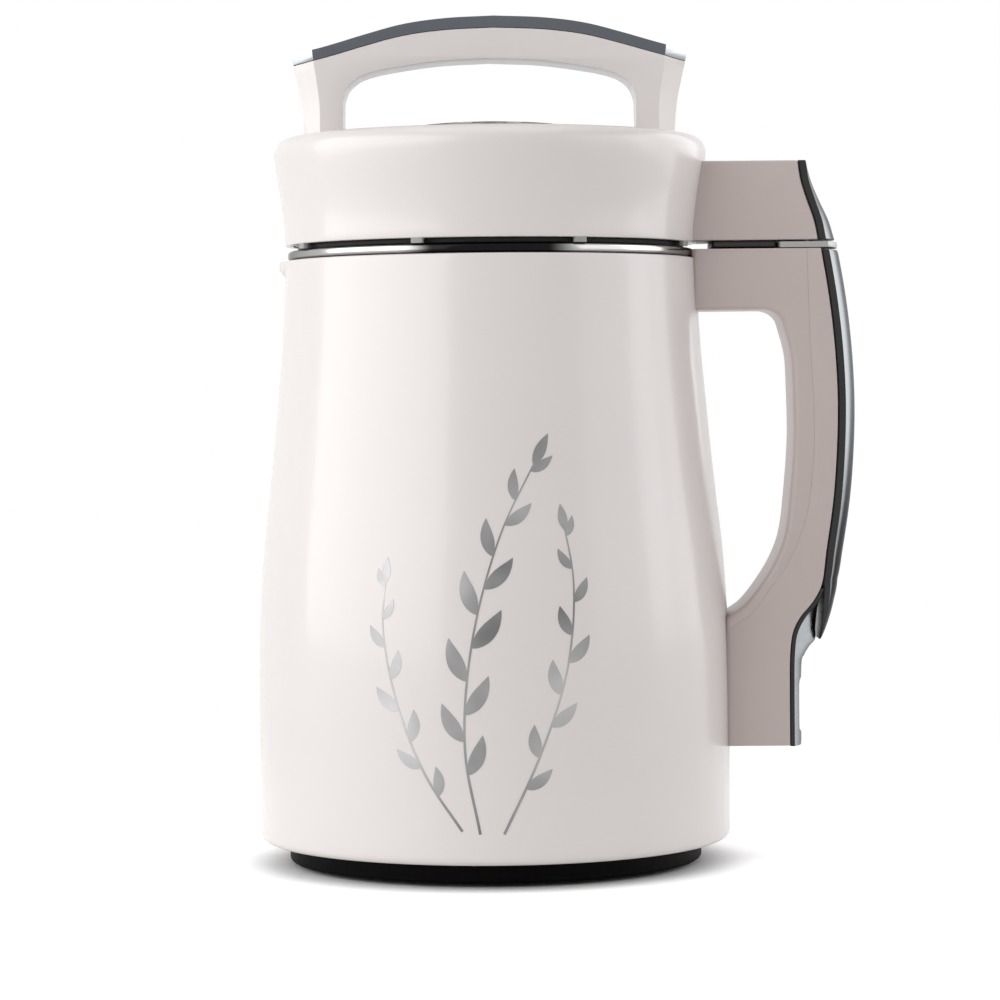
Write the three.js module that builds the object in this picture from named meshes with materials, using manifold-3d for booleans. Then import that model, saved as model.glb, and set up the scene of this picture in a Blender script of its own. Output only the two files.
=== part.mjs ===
// Nut milk maker: a heated jug with a side handle, and a lift-off motor head with a blade.
// Lengths are in millimetres and +Z is up. Everything is built about the jug's own axis,
// with the front towards -Y and the side handle towards +X. At the end the whole object is
// moved so that its origin lies on the standing surface, under the middle of its outline.
// A name that ends in Share or Shares holds parts of a named size, not lengths.

import * as THREE from 'three';
import { mergeVertices } from 'three/addons/utils/BufferGeometryUtils.js';
import Module from 'manifold-3d';

const wasm = await Module();
wasm.setup();

// Fits
const seatGap = 0.3; // between two pieces that rest on or fit into each other
const runGap = 0.1; // around the turning shaft
const airGap = 0.6; // between the rotor and the stator
const overrun = 1.5; // how far a cutter reaches past the face that it cuts

// Jug jacket
const shellBottomZ = 8.8;
const shellTopZ = 220.5;
const bellyRadius = 86.4;
const neckRadius = 75.2;
const shellWall = 2.8;
const shellEdgeRadius = 3;
const shellLip = 3;
const shellBottomHoleRadius = 66;
const spoutReach = 3.1;
const spoutWidth = 15;
const spoutHeight = 3.4;
// height above the bottom edge, and how far the wall stands out from neck to belly
const bellyShares = [
  [0.24, 1], [0.33, 0.97], [0.41, 0.93], [0.5, 0.8], [0.58, 0.63],
  [0.67, 0.44], [0.76, 0.3], [0.84, 0.14], [0.93, 0.05],
];

// Steel cup
const cupRadius = 66;
const cupWall = 1.2;
const cupFloorZ = 52;
const cupCornerRadius = 6;
const rimRadius = 74.3;
const rimHeight = 2.3;
const rimRoll = 0.8;
const gasketWidth = 2.7;
const gasketHeight = 4;

// Base
const baseRadius = 75.7;
const baseClearance = 1.2; // below the base cover, bridged by the feet
const baseFloor = 3;
const baseEdge = 1.2;
const baseSpigotHeight = 5;
const baseWall = 2.6;
const footRadius = 8;
const footHeight = 2.4;
const footCircleRadius = 58;
const footCount = 3;
const baseScrewCount = 3;
const baseScrewCircleRadius = 70.2;
const screwRadius = 1.8;
const screwHeadRadius = 3.5;
const screwHeadHeight = 2.2;
const baseScrewLength = 14;
const screwBossRadius = 3.8;
const screwBossHeight = 9;

// Heater
const heaterPlateRadius = 48;
const heaterPlateHeight = 4;
const heaterTubeRadius = 3.4;
const heaterRingRadius = 34;
const heaterEndDrop = 9;
// the open ring's start and length as shares of a full turn, and its ends' places towards the middle
const heaterStartShare = 0.56;
const heaterArcShare = 0.88;
const heaterArcSteps = 16;
const heaterEndShares = [0.5, 0.4];
const thermostatRadius = 8;
const thermostatHeight = 8;
const thermostatTab = 3;

// Power board on the base cover
const boardPostHeight = 10;
const boardPostRadius = 3.5;
const boardLength = 84;
const boardWidth = 60;
const boardThickness = 1.6;
const relayLength = 20;
const relayWidth = 16;
const relayHeight = 14;
const transformerLength = 28;
const transformerWidth = 24;
const transformerHeight = 16;
const terminalLength = 12;
const terminalWidth = 26;
const terminalHeight = 10;

// Side handle: an outline seen from the front, between two flat sides
const handleBottomZ = 43.8;
const handleTopRise = 2.9; // above the jacket's top edge
const handleReach = 39; // from the handle's root to the furthest point of the back edge
const handleRootRoom = 7.2; // least distance of the root from the head's widest radius
const handleDepth = 34;
const handleWall = 2.5;
const gripRounding = 4;
// share of the handle's height, share of its reach, from the top down
const handleBackShares = [
  [1, 0.851], [0.9, 0.926], [0.798, 0.977], [0.696, 1], [0.594, 0.99], [0.491, 0.954],
  [0.389, 0.887], [0.318, 0.846], [0.285, 0.785], [0.255, 0.67], [0.225, 0.597], [0.18, 0.567],
  [0.12, 0.5615], [0, 0.5615],
];
// the finger opening's edge, from its lower tip up to its top edge
const handleInnerShares = [
  [0.259, -0.018], [0.28, 0.121], [0.328, 0.297], [0.377, 0.428], [0.424, 0.503],
  [0.522, 0.559], [0.619, 0.59], [0.73, 0.582], [0.786, 0.567], [0.836, 0.51],
  [0.8585, 0.474], [0.871, 0.413], [0.877, 0.336],
];
// the seam between the handle's two shells, from the top down
const handleSeamShares = [
  [0.836, 0.744], [0.742, 0.765], [0.647, 0.782], [0.536, 0.759], [0.452, 0.695],
  [0.369, 0.541], [0.313, 0.362], [0.268, 0.208], [0.241, 0.041], [0.224, -0.42],
];
const trimThickness = 2.7;
const trimCrown = 4.7;
const trimTipDepthShare = 0.62;
// height, thickness and crown of the handle trim as shares, from the top down to its tip
const trimShares = [
  [0.997, 1, 0.98], [0.9, 1, 1], [0.798, 1, 1], [0.696, 1, 1], [0.594, 1, 1],
  [0.491, 1, 0.98], [0.389, 1, 0.95], [0.33, 0.95, 0.86], [0.285, 0.8, 0.66],
  [0.245, 0.55, 0.45], [0.21, 0.28, 0.22],
];
const trimTailShare = 0.33; // below this height the trim leaves the handle's edge
const topPlateHeight = 2.2;
const topPlateLength = 17.8;
const handleScrewRadius = 2;
const handleScrewLength = 15;
const lowerScrewRoom = 2.8; // above the inlet socket
const handleBossLength = 12;
const handleBossRadius = 4;

// Mains inlet in the block at the foot of the handle
const inletRise = 13.2; // above the handle's foot
const inletWidth = 26.4;
const inletHeight = 19.4;
const inletDepth = 22;
const inletRecessWidth = 22.6;
const inletRecessHeight = 15.2;
const inletRecessDepth = 16;
const inletRecessCut = 4;
const pinWidth = 4;
const pinThickness = 2;
const pinLength = 19;
const pinSpacing = 14;
const earthPinRise = 4;
const livePinDrop = 2;
const bezelThickness = 2.7;
const bezelCrown = 1.4;
// height, thickness and crown shares of the bezel
const bezelShares = [
  [0, 1, 1], [0.06, 1, 1], [0.12, 1, 1], [0.18, 1, 1], [0.225, 1, 0.8], [0.255, 0.9, 0.4], [0.272, 0.6, 0.1],
];

// Coupler between head and handle
const couplerRise = 0.5;
const couplerHeight = 28.7;
const couplerWall = 2.5;
// height share, and reach share of the handle's reach
const couplerBackShares = [[0, 0.828], [0.25, 0.79], [0.5, 0.726], [0.75, 0.669], [1, 0.641]];
// height, thickness and crown shares of the coupler trim
const couplerTrimShares = [[0.01, 1, 1], [0.25, 1, 0.85], [0.5, 1, 0.66], [0.8, 1, 0.42], [1, 1, 0.14]];
const couplerTrimCrown = 4.5;
const plugOffset = 13.8; // from the head's widest radius to the plug's middle
const plugLength = 13;
const plugWidth = 17;
const plugDrop = 11;
const plugFlange = 3;
const socketWall = 2.6;
const socketHeight = 13;
const socketClearance = 0.4;
const socketFloor = 2.4;

// Leads
const leadRadius = 2.4;
const leadSides = 8;
const couplerLeadSteps = 34;
const mainsLeadSteps = 16;
const heaterTubeSteps = 36;
const leadHoleClearance = 1.2;
const leadChannelShares = [0.85, 0.77, 0.68, 0.6, 0.52, 0.44, 0.38, 0.33];

// Head jacket
const headRise = 5.5; // above the jacket's top edge
const headHeight = 39;
const headBottomRadius = 75.2;
const headTopRadius = 79.2;
const headWall = 2.8;
const headShoulderRadius = 6;
// share of the head's height, and of the way from its bottom radius to its top radius
const headShares = [[0.22, 0.12], [0.4, 0.32], [0.59, 0.62], [0.85, 1]];
const headLedgeRadius = 68;
const headLedge = 2.5;
const ribCount = 8;
const ribWidth = 4.5;
const ribDepth = 2.5;
const ribRise = 2;
const ribPhaseDeg = 25;

// Control panel, buttons and board
const panelRadius = 52.5;
const panelRise = 5.8;
const panelThickness = 2.4;
const panelLedgeWidth = 4;
const panelSeatDepth = 2.3;
const buttonCount = 3;
const buttonRadius = 6;
const buttonFlangeRadius = 7.4;
const buttonFlange = 1.4;
const buttonProud = 0.15;
const buttonStem = 4;
const buttonStemRadius = 2.5;
const buttonTravel = 1;
const buttonCircleRadius = 33;
const buttonStepDeg = 32;
const controlBoardRadius = 42;
const controlBoardThickness = 1.6;
const controlBoardDrop = 15.2; // below the head's top
const controlPostRadius = 2.5;
const controlPostCircleRadius = 38;
const controlPostCount = 3;
const displayLength = 38;
const displayWidth = 18;
const displayHeight = 7;

// Carry handle on the head
const carryDepth = 23;
const carryCornerRadius = 8;
const carryHalfSpan = 72.3;
const carryRise = 39.5; // of the arch's apex above the head's top
const carryArchDrop = 12.6;
const carryTrimThickness = 4.4;
const carryOpeningHalfWidth = 53.3;
const carryOpeningRise = 28.5;
// outer face of the legs: height share from deck to apex, share of the half span
const carryLegShares = [
  [0, 0.935], [0.13, 0.938], [0.31, 0.947], [0.5, 0.967], [0.69, 0.993], [0.8, 1], [1.3, 1],
];
// top edge: share of the half span, share of the arch's drop
const carryArchShares = [
  [0, 0], [0.254, 0.07], [0.458, 0.235], [0.661, 0.52], [0.8, 0.75], [0.9, 0.9], [1, 1],
];
// opening: share of its half width, share of its height
const carryOpeningShares = [
  [0, 1], [0.345, 0.969], [0.621, 0.9], [0.788, 0.839], [0.891, 0.77],
  [0.9625, 0.655], [0.994, 0.517], [1, 0.364], [1, 0],
];
const carryScrewX = 60.5;
const carryScrewLength = 13;

// Motor drum and stem
const drumRadius = 44;
const drumWall = 1.6;
const drumDrop = 76; // below the head's bottom edge
const drumCornerRadius = 6;
const drumFlangeThickness = 2;
const stemRadius = 14;
const stemBoreRadius = 9.5;
const stemFloorClearance = 44; // above the cup's floor
const sealSkirtWidth = 2.6;
const sealSkirtDrop = 6.5;
const sealInnerShare = 0.96;

// Motor
const shaftRadius = 4;
const shaftTopRise = 15; // above the head's bottom edge
const shaftShoulderDrop = 12.3; // below the stem
const threadRadius = 2.8;
const threadLength = 9.2;
const lowerBearingRise = 8; // above the stem's lower end
const bearingHeight = 7;
const bearingRadius = 9.2;
const stemSealHeight = 4.5;
const bracketFloor = 2.6;
const bracketRingRadius = 33.6;
const bracketRingWall = 3.6;
const bracketHubRadius = 6;
const statorRise = 22; // above the drum's bottom
const statorHeight = 26;
const statorWidth = 60;
const statorCornerRadius = 12;
const coilRadius = 29;
const coilOverhang = 4;
const rotorRadius = 18;
const rotorSlots = 12;
const rotorSlotDepth = 2.2;
const rotorSlotShare = 0.3;
const upperBracketRise = 47.7; // above the stator's lower face
const upperBracketThickness = 2.4;
const upperBracketRadius = 36;
const upperBracketPostCircle = 26.8;
const upperBracketPostRadius = 2.6;
const upperHubRadius = 12.5;
const upperHubHeight = 10;
const commutatorRadius = 11;
const commutatorHeight = 13;
const commutatorRise = 32.5; // above the stator's lower face
const brushHeight = 8;
const brushWidth = 6;
const brushLength = 14.5;
const brushRise = 7.5; // above the commutator's lower end
const brushHolderWall = 2;
const brushHolderInset = 2;
const fanRadius = 24;
const fanRise = 11.8; // above the upper bracket
const fanPlate = 1.4;
const fanBladeHeight = 6;
const fanBladeThickness = 1.2;
const fanBladeCount = 9;
const fanHubRadius = 7;

// Blade, nut and guard
const bladeRadius = 24;
const bladeWidth = 9;
const bladeThickness = 1.6;
const bladeHubRadius = 7;
const bladeHubHeight = 3.4;
const bladeTiltDeg = 14;
const bladeWings = 4;
const nutRadius = 5.4;
const nutHeight = 7.5;
const nutDome = 2.2;
const collarRadius = 19;
const collarHeight = 14;
const collarRise = 2; // above the stem's lower end
const lugHeight = 3;
const lugRise = 9; // above the stem's lower end
const lugReach = 2.3;
const lugWidth = 7;
const lugReleaseDeg = 30;
const guardRadius = 33;
const guardWall = 2;
const guardMouthDrop = 32; // below the collar
const guardShoulderDrop = 8;
const guardWindows = 6;
const guardWindowWidth = 13;
const guardWindowHeight = 17;
const guardWindowRise = 5;

// Probes
const probeCircleRadius = 54;
const probeCollarRadius = 4.6;
const probeCollarHeight = 4;
const probeStudRadius = 2.2;
const probeStudHeight = 5;
const temperatureProbeRadius = 3;
const temperatureProbeClearance = 52; // above the cup's floor
const overflowProbeRadius = 2.2;
const overflowProbeDrop = 30; // below the head's bottom edge

const turn = 2 * Math.PI;
const largeSides = 36;
const mediumSides = 24;
const shaftSides = 16;
const buttonSides = 16;
const smallSides = 12;
const mergeTolerance = 1e-4;

const colours = {
  white: { color: 0xe9e3e0, roughness: 0.28, metalness: 0 },
  greyWhite: { color: 0xb9afac, roughness: 0.35, metalness: 0 },
  black: { color: 0x1a1716, roughness: 0.55, metalness: 0 },
  rubber: { color: 0x1c1a1a, roughness: 0.8, metalness: 0 },
  clearRubber: { color: 0xd8d4cf, roughness: 0.6, metalness: 0 },
  panel: { color: 0x101114, roughness: 0.08, metalness: 0 },
  steel: { color: 0xb8b8ba, roughness: 0.3, metalness: 1 },
  chrome: { color: 0x9aa0a6, roughness: 0.12, metalness: 1 },
  aluminium: { color: 0xa9abad, roughness: 0.45, metalness: 1 },
  silver: { color: 0x9b9d9c, roughness: 0.35, metalness: 0.6 },
  copper: { color: 0xb06a3a, roughness: 0.4, metalness: 1 },
  brass: { color: 0xb99a4f, roughness: 0.35, metalness: 1 },
  carbon: { color: 0x2a2a2c, roughness: 0.7, metalness: 0 },
  board: { color: 0x2e6a45, roughness: 0.6, metalness: 0 },
  lead: { color: 0x3a3a3d, roughness: 0.7, metalness: 0 },
};

// Solids: closed geometries that can be joined and cut

function signedVolume(positions, triangles) {
  const a = new THREE.Vector3();
  const b = new THREE.Vector3();
  const c = new THREE.Vector3();
  let total = 0;
  for (let i = 0; i < triangles.length; i += 3) {
    a.fromArray(positions, 3 * triangles[i]);
    b.fromArray(positions, 3 * triangles[i + 1]);
    c.fromArray(positions, 3 * triangles[i + 2]);
    total += a.dot(b.cross(c));
  }
  return total / 6;
}

function solid(geometry) {
  const bare = geometry.index ? geometry.toNonIndexed() : geometry.clone();
  bare.deleteAttribute('normal');
  bare.deleteAttribute('uv');
  const merged = mergeVertices(bare, mergeTolerance);
  const positions = merged.attributes.position.array;
  const corners = merged.index.array;
  const triangles = [];
  for (let i = 0; i < corners.length; i += 3) {
    const [a, b, c] = [corners[i], corners[i + 1], corners[i + 2]];
    if (a !== b && b !== c && c !== a) {
      triangles.push(a, b, c);
    }
  }
  if (signedVolume(positions, triangles) < 0) {
    triangles.reverse();
  }
  return new wasm.Manifold(new wasm.Mesh({
    numProp: 3,
    vertProperties: Float32Array.from(positions),
    triVerts: Uint32Array.from(triangles),
  }));
}

function joined(...solids) {
  return solids.reduce((total, next) => total.add(next));
}

function cut(body, ...cutters) {
  return cutters.reduce((rest, cutter) => rest.subtract(cutter), body);
}

// A piece turned about Z, from points [radius, z]. A profile that starts and ends off the
// axis is closed into a ring.
function turned(profile, sides) {
  const points = profile.map(([r, z]) => new THREE.Vector2(r, z));
  const onAxis = profile[0][0] === 0 && profile[profile.length - 1][0] === 0;
  if (!onAxis) {
    points.push(points[0].clone());
  }
  return solid(new THREE.LatheGeometry(points, sides).rotateX(turn / 4));
}

function block(x0, x1, y0, y1, z0, z1) {
  const geometry = new THREE.BoxGeometry(x1 - x0, y1 - y0, z1 - z0);
  return solid(geometry.translate((x0 + x1) / 2, (y0 + y1) / 2, (z0 + z1) / 2));
}

function uprightRod(radius, x, y, z0, z1, sides = smallSides) {
  const geometry = new THREE.CylinderGeometry(radius, radius, z1 - z0, sides);
  return solid(geometry.rotateX(turn / 4).translate(x, y, (z0 + z1) / 2));
}

function rodAlongX(radius, x0, x1, y, z, sides = smallSides) {
  const geometry = new THREE.CylinderGeometry(radius, radius, x1 - x0, sides);
  return solid(geometry.rotateZ(turn / 4).translate((x0 + x1) / 2, y, z));
}

function shapeOf(points) {
  return new THREE.Shape(points.map(([a, b]) => new THREE.Vector2(a, b)));
}

function extruded(points, depth, rounding = 0) {
  const options = {
    depth: depth - 2 * rounding,
    bevelEnabled: rounding > 0,
    bevelThickness: rounding,
    bevelSize: rounding,
    bevelOffset: -rounding,
    bevelSegments: 3,
  };
  return new THREE.ExtrudeGeometry(shapeOf(points), options).translate(0, 0, rounding);
}

// An outline of points [x, z], as thick as depth and centred on the plane Y = 0
function plateAcrossY(points, depth, rounding = 0) {
  return solid(extruded(points, depth, rounding).rotateX(turn / 4).translate(0, depth / 2, 0));
}

// An outline of points [x, y], standing between two heights
function standing(points, z0, z1) {
  return solid(extruded(points, z1 - z0).translate(0, 0, z0));
}

// An outline of points [y, z], lying between two places along X
function lyingAlongX(points, x0, x1) {
  const turnedOver = new THREE.Matrix4().makeBasis(
    new THREE.Vector3(0, 1, 0),
    new THREE.Vector3(0, 0, 1),
    new THREE.Vector3(1, 0, 0),
  );
  return solid(extruded(points, x1 - x0).applyMatrix4(turnedOver).translate(x0, 0, 0));
}

// A skin through rings of points [x, y], each at its own height, with flat ends
function lofted(rings) {
  const positions = [];
  const triangles = [];
  const count = rings[0].points.length;
  for (const ring of rings) {
    for (const [x, y] of ring.points) {
      positions.push(x, y, ring.z);
    }
  }
  for (let level = 0; level + 1 < rings.length; level += 1) {
    for (let i = 0; i < count; i += 1) {
      const a = level * count + i;
      const b = level * count + (i + 1) % count;
      triangles.push(a, b, b + count, a, b + count, a + count);
    }
  }
  const last = (rings.length - 1) * count;
  for (const [offset, ring, down] of [[0, rings[0], true], [last, rings[rings.length - 1], false]]) {
    const outline = ring.points.map(([x, y]) => new THREE.Vector2(x, y));
    for (const [a, b, c] of THREE.ShapeUtils.triangulateShape(outline, [])) {
      triangles.push(offset + a, offset + (down ? c : b), offset + (down ? b : c));
    }
  }
  const geometry = new THREE.BufferGeometry();
  geometry.setAttribute('position', new THREE.Float32BufferAttribute(positions, 3));
  geometry.setIndex(triangles);
  return solid(geometry);
}

function tubeAlong(points, radius, steps, sides) {
  const section = Array.from({ length: sides }, (_, i) => [
    radius * Math.cos(turn * i / sides),
    radius * Math.sin(turn * i / sides),
  ]);
  const path = new THREE.CatmullRomCurve3(points.map(([x, y, z]) => new THREE.Vector3(x, y, z)));
  return solid(new THREE.ExtrudeGeometry(shapeOf(section), { steps, extrudePath: path }));
}

function moved(body, x, y, z) {
  return body.translate([x, y, z]);
}

function spun(body, degrees) {
  return body.rotate([0, 0, degrees]);
}

// Places that several pieces share

const handleTopZ = shellTopZ + handleTopRise;
const handleHeight = handleTopZ - handleBottomZ;
const openingBottomZ = handleBottomZ + handleInnerShares[0][0] * handleHeight;
const openingTopZ = handleBottomZ + handleInnerShares[handleInnerShares.length - 1][0] * handleHeight;
const socketTopZ = handleTopZ + seatGap;
const socketBottomZ = socketTopZ - socketHeight;
const upperScrewZ = (openingTopZ + socketBottomZ) / 2;
const inletZ = handleBottomZ + inletRise;
const lowerScrewZ = inletZ + inletHeight / 2 + lowerScrewRoom;
const mainsLeadZ = inletZ;
const couplerLeadZ = (lowerScrewZ + openingBottomZ) / 2;
const headBottomZ = shellTopZ + headRise;
const headTopZ = headBottomZ + headHeight;
const couplerZ = headBottomZ + couplerRise;
const controlBoardZ = headTopZ - controlBoardDrop;
const carryApexZ = headTopZ + carryRise;
const carryOpeningApexZ = headTopZ + carryOpeningRise;
const drumBottomZ = headBottomZ - drumDrop;
const stemBottomZ = cupFloorZ + stemFloorClearance;
const shaftTopZ = headBottomZ + shaftTopRise;
const shaftShoulderZ = stemBottomZ - shaftShoulderDrop;
const threadBottomZ = shaftShoulderZ - threadLength;
const lowerBearingZ = stemBottomZ + lowerBearingRise;
const statorZ = drumBottomZ + statorRise;
const upperBracketZ = statorZ + upperBracketRise;
const commutatorZ = statorZ + commutatorRise;
const brushZ = commutatorZ + brushRise;
const fanZ = upperBracketZ + fanRise;
const collarBottomZ = stemBottomZ + collarRise;
const lugZ = stemBottomZ + lugRise;
const guardBottomZ = collarBottomZ - guardMouthDrop;
const guardShoulderZ = collarBottomZ - guardShoulderDrop;
const temperatureProbeTipZ = cupFloorZ + temperatureProbeClearance;
const overflowProbeTipZ = headBottomZ - overflowProbeDrop;
const headSideRadius = Math.max(headBottomRadius, headTopRadius);
const handleRootX = Math.max(bellyRadius, headSideRadius + handleRootRoom);
const plugX = headSideRadius + plugOffset;
const jugSideRadius = Math.min(neckRadius, bellyRadius);
const jugWidestRadius = Math.max(neckRadius, bellyRadius);

// Outlines

function between(table, share) {
  const above = table.findIndex(([t]) => t >= share);
  if (above <= 0) {
    return above === 0 ? table[0][1] : table[table.length - 1][1];
  }
  const [t0, s0] = table[above - 1];
  const [t1, s1] = table[above];
  return s0 + (s1 - s0) * (share - t0) / (t1 - t0);
}

function roundedRectangle(halfLength, halfWidth, radius, steps) {
  const points = [];
  const centres = [[1, 1], [-1, 1], [-1, -1], [1, -1]];
  centres.forEach(([sx, sy], corner) => {
    for (let i = 0; i <= steps; i += 1) {
      const angle = turn / 4 * (corner + i / steps);
      points.push([
        sx * (halfLength - radius) + radius * Math.cos(angle),
        sy * (halfWidth - radius) + radius * Math.sin(angle),
      ]);
    }
  });
  return points;
}

// A closed outline moved inwards by a distance, corner by corner
function insetOutline(points, distance) {
  const area = points.reduce((sum, [x, y], i) => {
    const [nx, ny] = points[(i + 1) % points.length];
    return sum + x * ny - nx * y;
  }, 0);
  const side = Math.sign(area);
  return points.map(([x, y], i) => {
    const [px, py] = points[(i + points.length - 1) % points.length];
    const [nx, ny] = points[(i + 1) % points.length];
    const before = new THREE.Vector2(x - px, y - py).normalize();
    const after = new THREE.Vector2(nx - x, ny - y).normalize();
    const normal = new THREE.Vector2(-before.y - after.y, before.x + after.x).normalize();
    const reach = side * distance / (normal.x * -before.y + normal.y * before.x);
    return [x + normal.x * reach, y + normal.y * reach];
  });
}

const shellHeight = shellTopZ - shellBottomZ;
const shellTable = [[0, 1], ...bellyShares, [1, 0]];

function shellRadiusAt(z) {
  const share = between(shellTable, (z - shellBottomZ) / shellHeight);
  return neckRadius + share * (bellyRadius - neckRadius);
}

function shellProfile(inset) {
  return bellyShares.map(([t]) => {
    const z = shellBottomZ + t * shellHeight;
    return [shellRadiusAt(z) - inset, z];
  });
}

// Everything inside the jacket, grown by a gap and carried up past the handle's top
function jugSpace(gap) {
  return turned([
    [0, -overrun],
    [bellyRadius + gap, -overrun],
    ...shellProfile(-gap),
    [neckRadius + gap, shellTopZ],
    [neckRadius + gap, couplerZ + couplerHeight],
    [0, couplerZ + couplerHeight],
  ], largeSides);
}

function headRadiusAt(t) {
  return headBottomRadius + between([[0, 0], ...headShares], t) * (headTopRadius - headBottomRadius);
}

function headSpace(gap) {
  return turned([
    [0, headBottomZ - overrun],
    [headBottomRadius + gap, headBottomZ - overrun],
    ...headShares.map(([t]) => [headRadiusAt(t) + gap, headBottomZ + t * headHeight]),
    [headTopRadius + gap, headTopZ + overrun],
    [0, headTopZ + overrun],
  ], largeSides);
}

const rimBottomZ = shellTopZ + seatGap;
const rimTopZ = rimBottomZ + rimHeight;
const cupInnerRadius = cupRadius - cupWall;
const shellTopHoleRadius = cupRadius + gasketWidth + 2 * seatGap;
const handleInsideX = neckRadius - 2 * handleWall;
const trimSideX = seatGap + trimThickness;

function handlePoint([t, s]) {
  return [handleRootX + s * handleReach, handleBottomZ + t * handleHeight];
}

function handleBackX(t) {
  const upward = [...handleBackShares].reverse();
  return handleRootX + between(upward, t) * handleReach;
}

// Jug pieces

function outerShell() {
  const inner = shellProfile(shellWall).filter((_, i) => i % 2 === 0).reverse();
  const floorZ = shellBottomZ + shellWall;
  const wall = turned([
    [shellBottomHoleRadius, shellBottomZ],
    [bellyRadius - shellEdgeRadius, shellBottomZ],
    [bellyRadius - shellEdgeRadius * (1 - Math.SQRT1_2), shellBottomZ + shellEdgeRadius * (1 - Math.SQRT1_2)],
    [bellyRadius, shellBottomZ + shellEdgeRadius],
    ...shellProfile(0),
    [neckRadius, shellTopZ],
    [shellTopHoleRadius, shellTopZ],
    [shellTopHoleRadius, shellTopZ - shellLip],
    [neckRadius - shellWall, shellTopZ - shellLip - shellWall],
    ...inner,
    [bellyRadius - shellWall, floorZ],
    [shellBottomHoleRadius, floorZ],
  ], largeSides);
  const lip = standing([
    [-neckRadius + shellWall / 2, spoutWidth / 2],
    [-neckRadius - spoutReach * 0.8, spoutWidth / 6],
    [-neckRadius - spoutReach, 0],
    [-neckRadius - spoutReach * 0.8, -spoutWidth / 6],
    [-neckRadius + shellWall / 2, -spoutWidth / 2],
  ], shellTopZ - spoutHeight, shellTopZ);
  const bosses = baseScrewPlaces().map(([x, y]) => (
    uprightRod(screwBossRadius, x, y, floorZ - shellWall / 2, floorZ + screwBossHeight)
  ));
  const screwBore = handleScrewRadius + seatGap;
  const holeStartX = jugSideRadius - 2 * shellWall;
  const holeEndX = jugWidestRadius + overrun;
  const holes = [
    ...baseScrewPlaces().map(([x, y]) => (
      uprightRod(screwRadius + seatGap, x, y, shellBottomZ - overrun, floorZ + screwBossHeight + overrun)
    )),
    ...[upperScrewZ, lowerScrewZ].map((z) => rodAlongX(screwBore, holeStartX, holeEndX, 0, z)),
    ...[couplerLeadZ, mainsLeadZ].map((z) => (
      rodAlongX(leadRadius + leadHoleClearance, holeStartX, holeEndX, 0, z)
    )),
  ];
  return cut(joined(wall, lip, ...bosses), ...holes);
}

function baseScrewPlaces() {
  return Array.from({ length: baseScrewCount }, (_, i) => {
    const angle = turn * (i + 1 / 2) / baseScrewCount;
    return [baseScrewCircleRadius * Math.cos(angle), baseScrewCircleRadius * Math.sin(angle)];
  });
}

function footPlaces() {
  return Array.from({ length: footCount }, (_, i) => {
    const angle = turn * i / footCount;
    return [footCircleRadius * Math.cos(angle), footCircleRadius * Math.sin(angle)];
  });
}

function innerCup() {
  const corner = (radius, cornerRadius, z) => [1, 3, 5].map((step) => {
    const angle = turn / 4 * step / 6;
    return [
      radius - cornerRadius + cornerRadius * Math.sin(angle),
      z + cornerRadius - cornerRadius * Math.cos(angle),
    ];
  });
  const innerCorner = cupCornerRadius - cupWall;
  return turned([
    [0, cupFloorZ],
    [cupRadius - cupCornerRadius, cupFloorZ],
    ...corner(cupRadius, cupCornerRadius, cupFloorZ),
    [cupRadius, cupFloorZ + cupCornerRadius],
    [cupRadius, rimBottomZ],
    [rimRadius - rimRoll, rimBottomZ],
    [rimRadius, rimBottomZ + rimRoll],
    [rimRadius, rimTopZ - rimRoll],
    [rimRadius - rimRoll, rimTopZ],
    [cupInnerRadius, rimTopZ],
    [cupInnerRadius, cupFloorZ + cupCornerRadius],
    ...corner(cupInnerRadius, innerCorner, cupFloorZ + cupWall).reverse(),
    [cupInnerRadius - innerCorner, cupFloorZ + cupWall],
    [0, cupFloorZ + cupWall],
  ], largeSides);
}

function cupGasket() {
  const inner = cupRadius + seatGap;
  return turned([
    [inner, shellTopZ - gasketHeight],
    [inner + gasketWidth, shellTopZ - gasketHeight],
    [inner + gasketWidth, shellTopZ],
    [inner, shellTopZ],
  ], largeSides);
}

const baseTopZ = shellBottomZ - seatGap;
const baseSpigotRadius = shellBottomHoleRadius - seatGap;
const baseFloorZ = baseClearance + baseFloor;
const screwSeatZ = baseTopZ - baseWall;
const boardZ = baseFloorZ + boardPostHeight + seatGap;
const boardPostPlaces = [[1, 1], [1, -1], [-1, 1], [-1, -1]].map(([sx, sy]) => [
  sx * (boardLength / 2 - 2 * boardPostRadius),
  sy * (boardWidth / 2 - 2 * boardPostRadius),
]);

function baseCover() {
  const tray = turned([
    [0, baseClearance],
    [baseRadius - baseEdge, baseClearance],
    [baseRadius, baseClearance + baseEdge],
    [baseRadius, baseTopZ],
    [baseSpigotRadius, baseTopZ],
    [baseSpigotRadius, baseTopZ + baseSpigotHeight],
    [baseSpigotRadius - baseWall, baseTopZ + baseSpigotHeight],
    [baseSpigotRadius - baseWall, baseFloorZ],
    [0, baseFloorZ],
  ], largeSides);
  const posts = boardPostPlaces.map(([x, y]) => (
    uprightRod(boardPostRadius, x, y, baseFloorZ - baseFloor / 2, boardZ - seatGap)
  ));
  const pockets = footPlaces().map(([x, y]) => (
    uprightRod(footRadius + seatGap, x, y, baseClearance - overrun, footHeight + seatGap)
  ));
  const holes = baseScrewPlaces().flatMap(([x, y]) => [
    uprightRod(screwHeadRadius + seatGap, x, y, baseClearance - overrun, screwSeatZ),
    uprightRod(screwRadius + seatGap, x, y, baseClearance - overrun, baseTopZ + overrun),
  ]);
  return cut(joined(tray, ...posts), ...pockets, ...holes);
}

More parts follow.
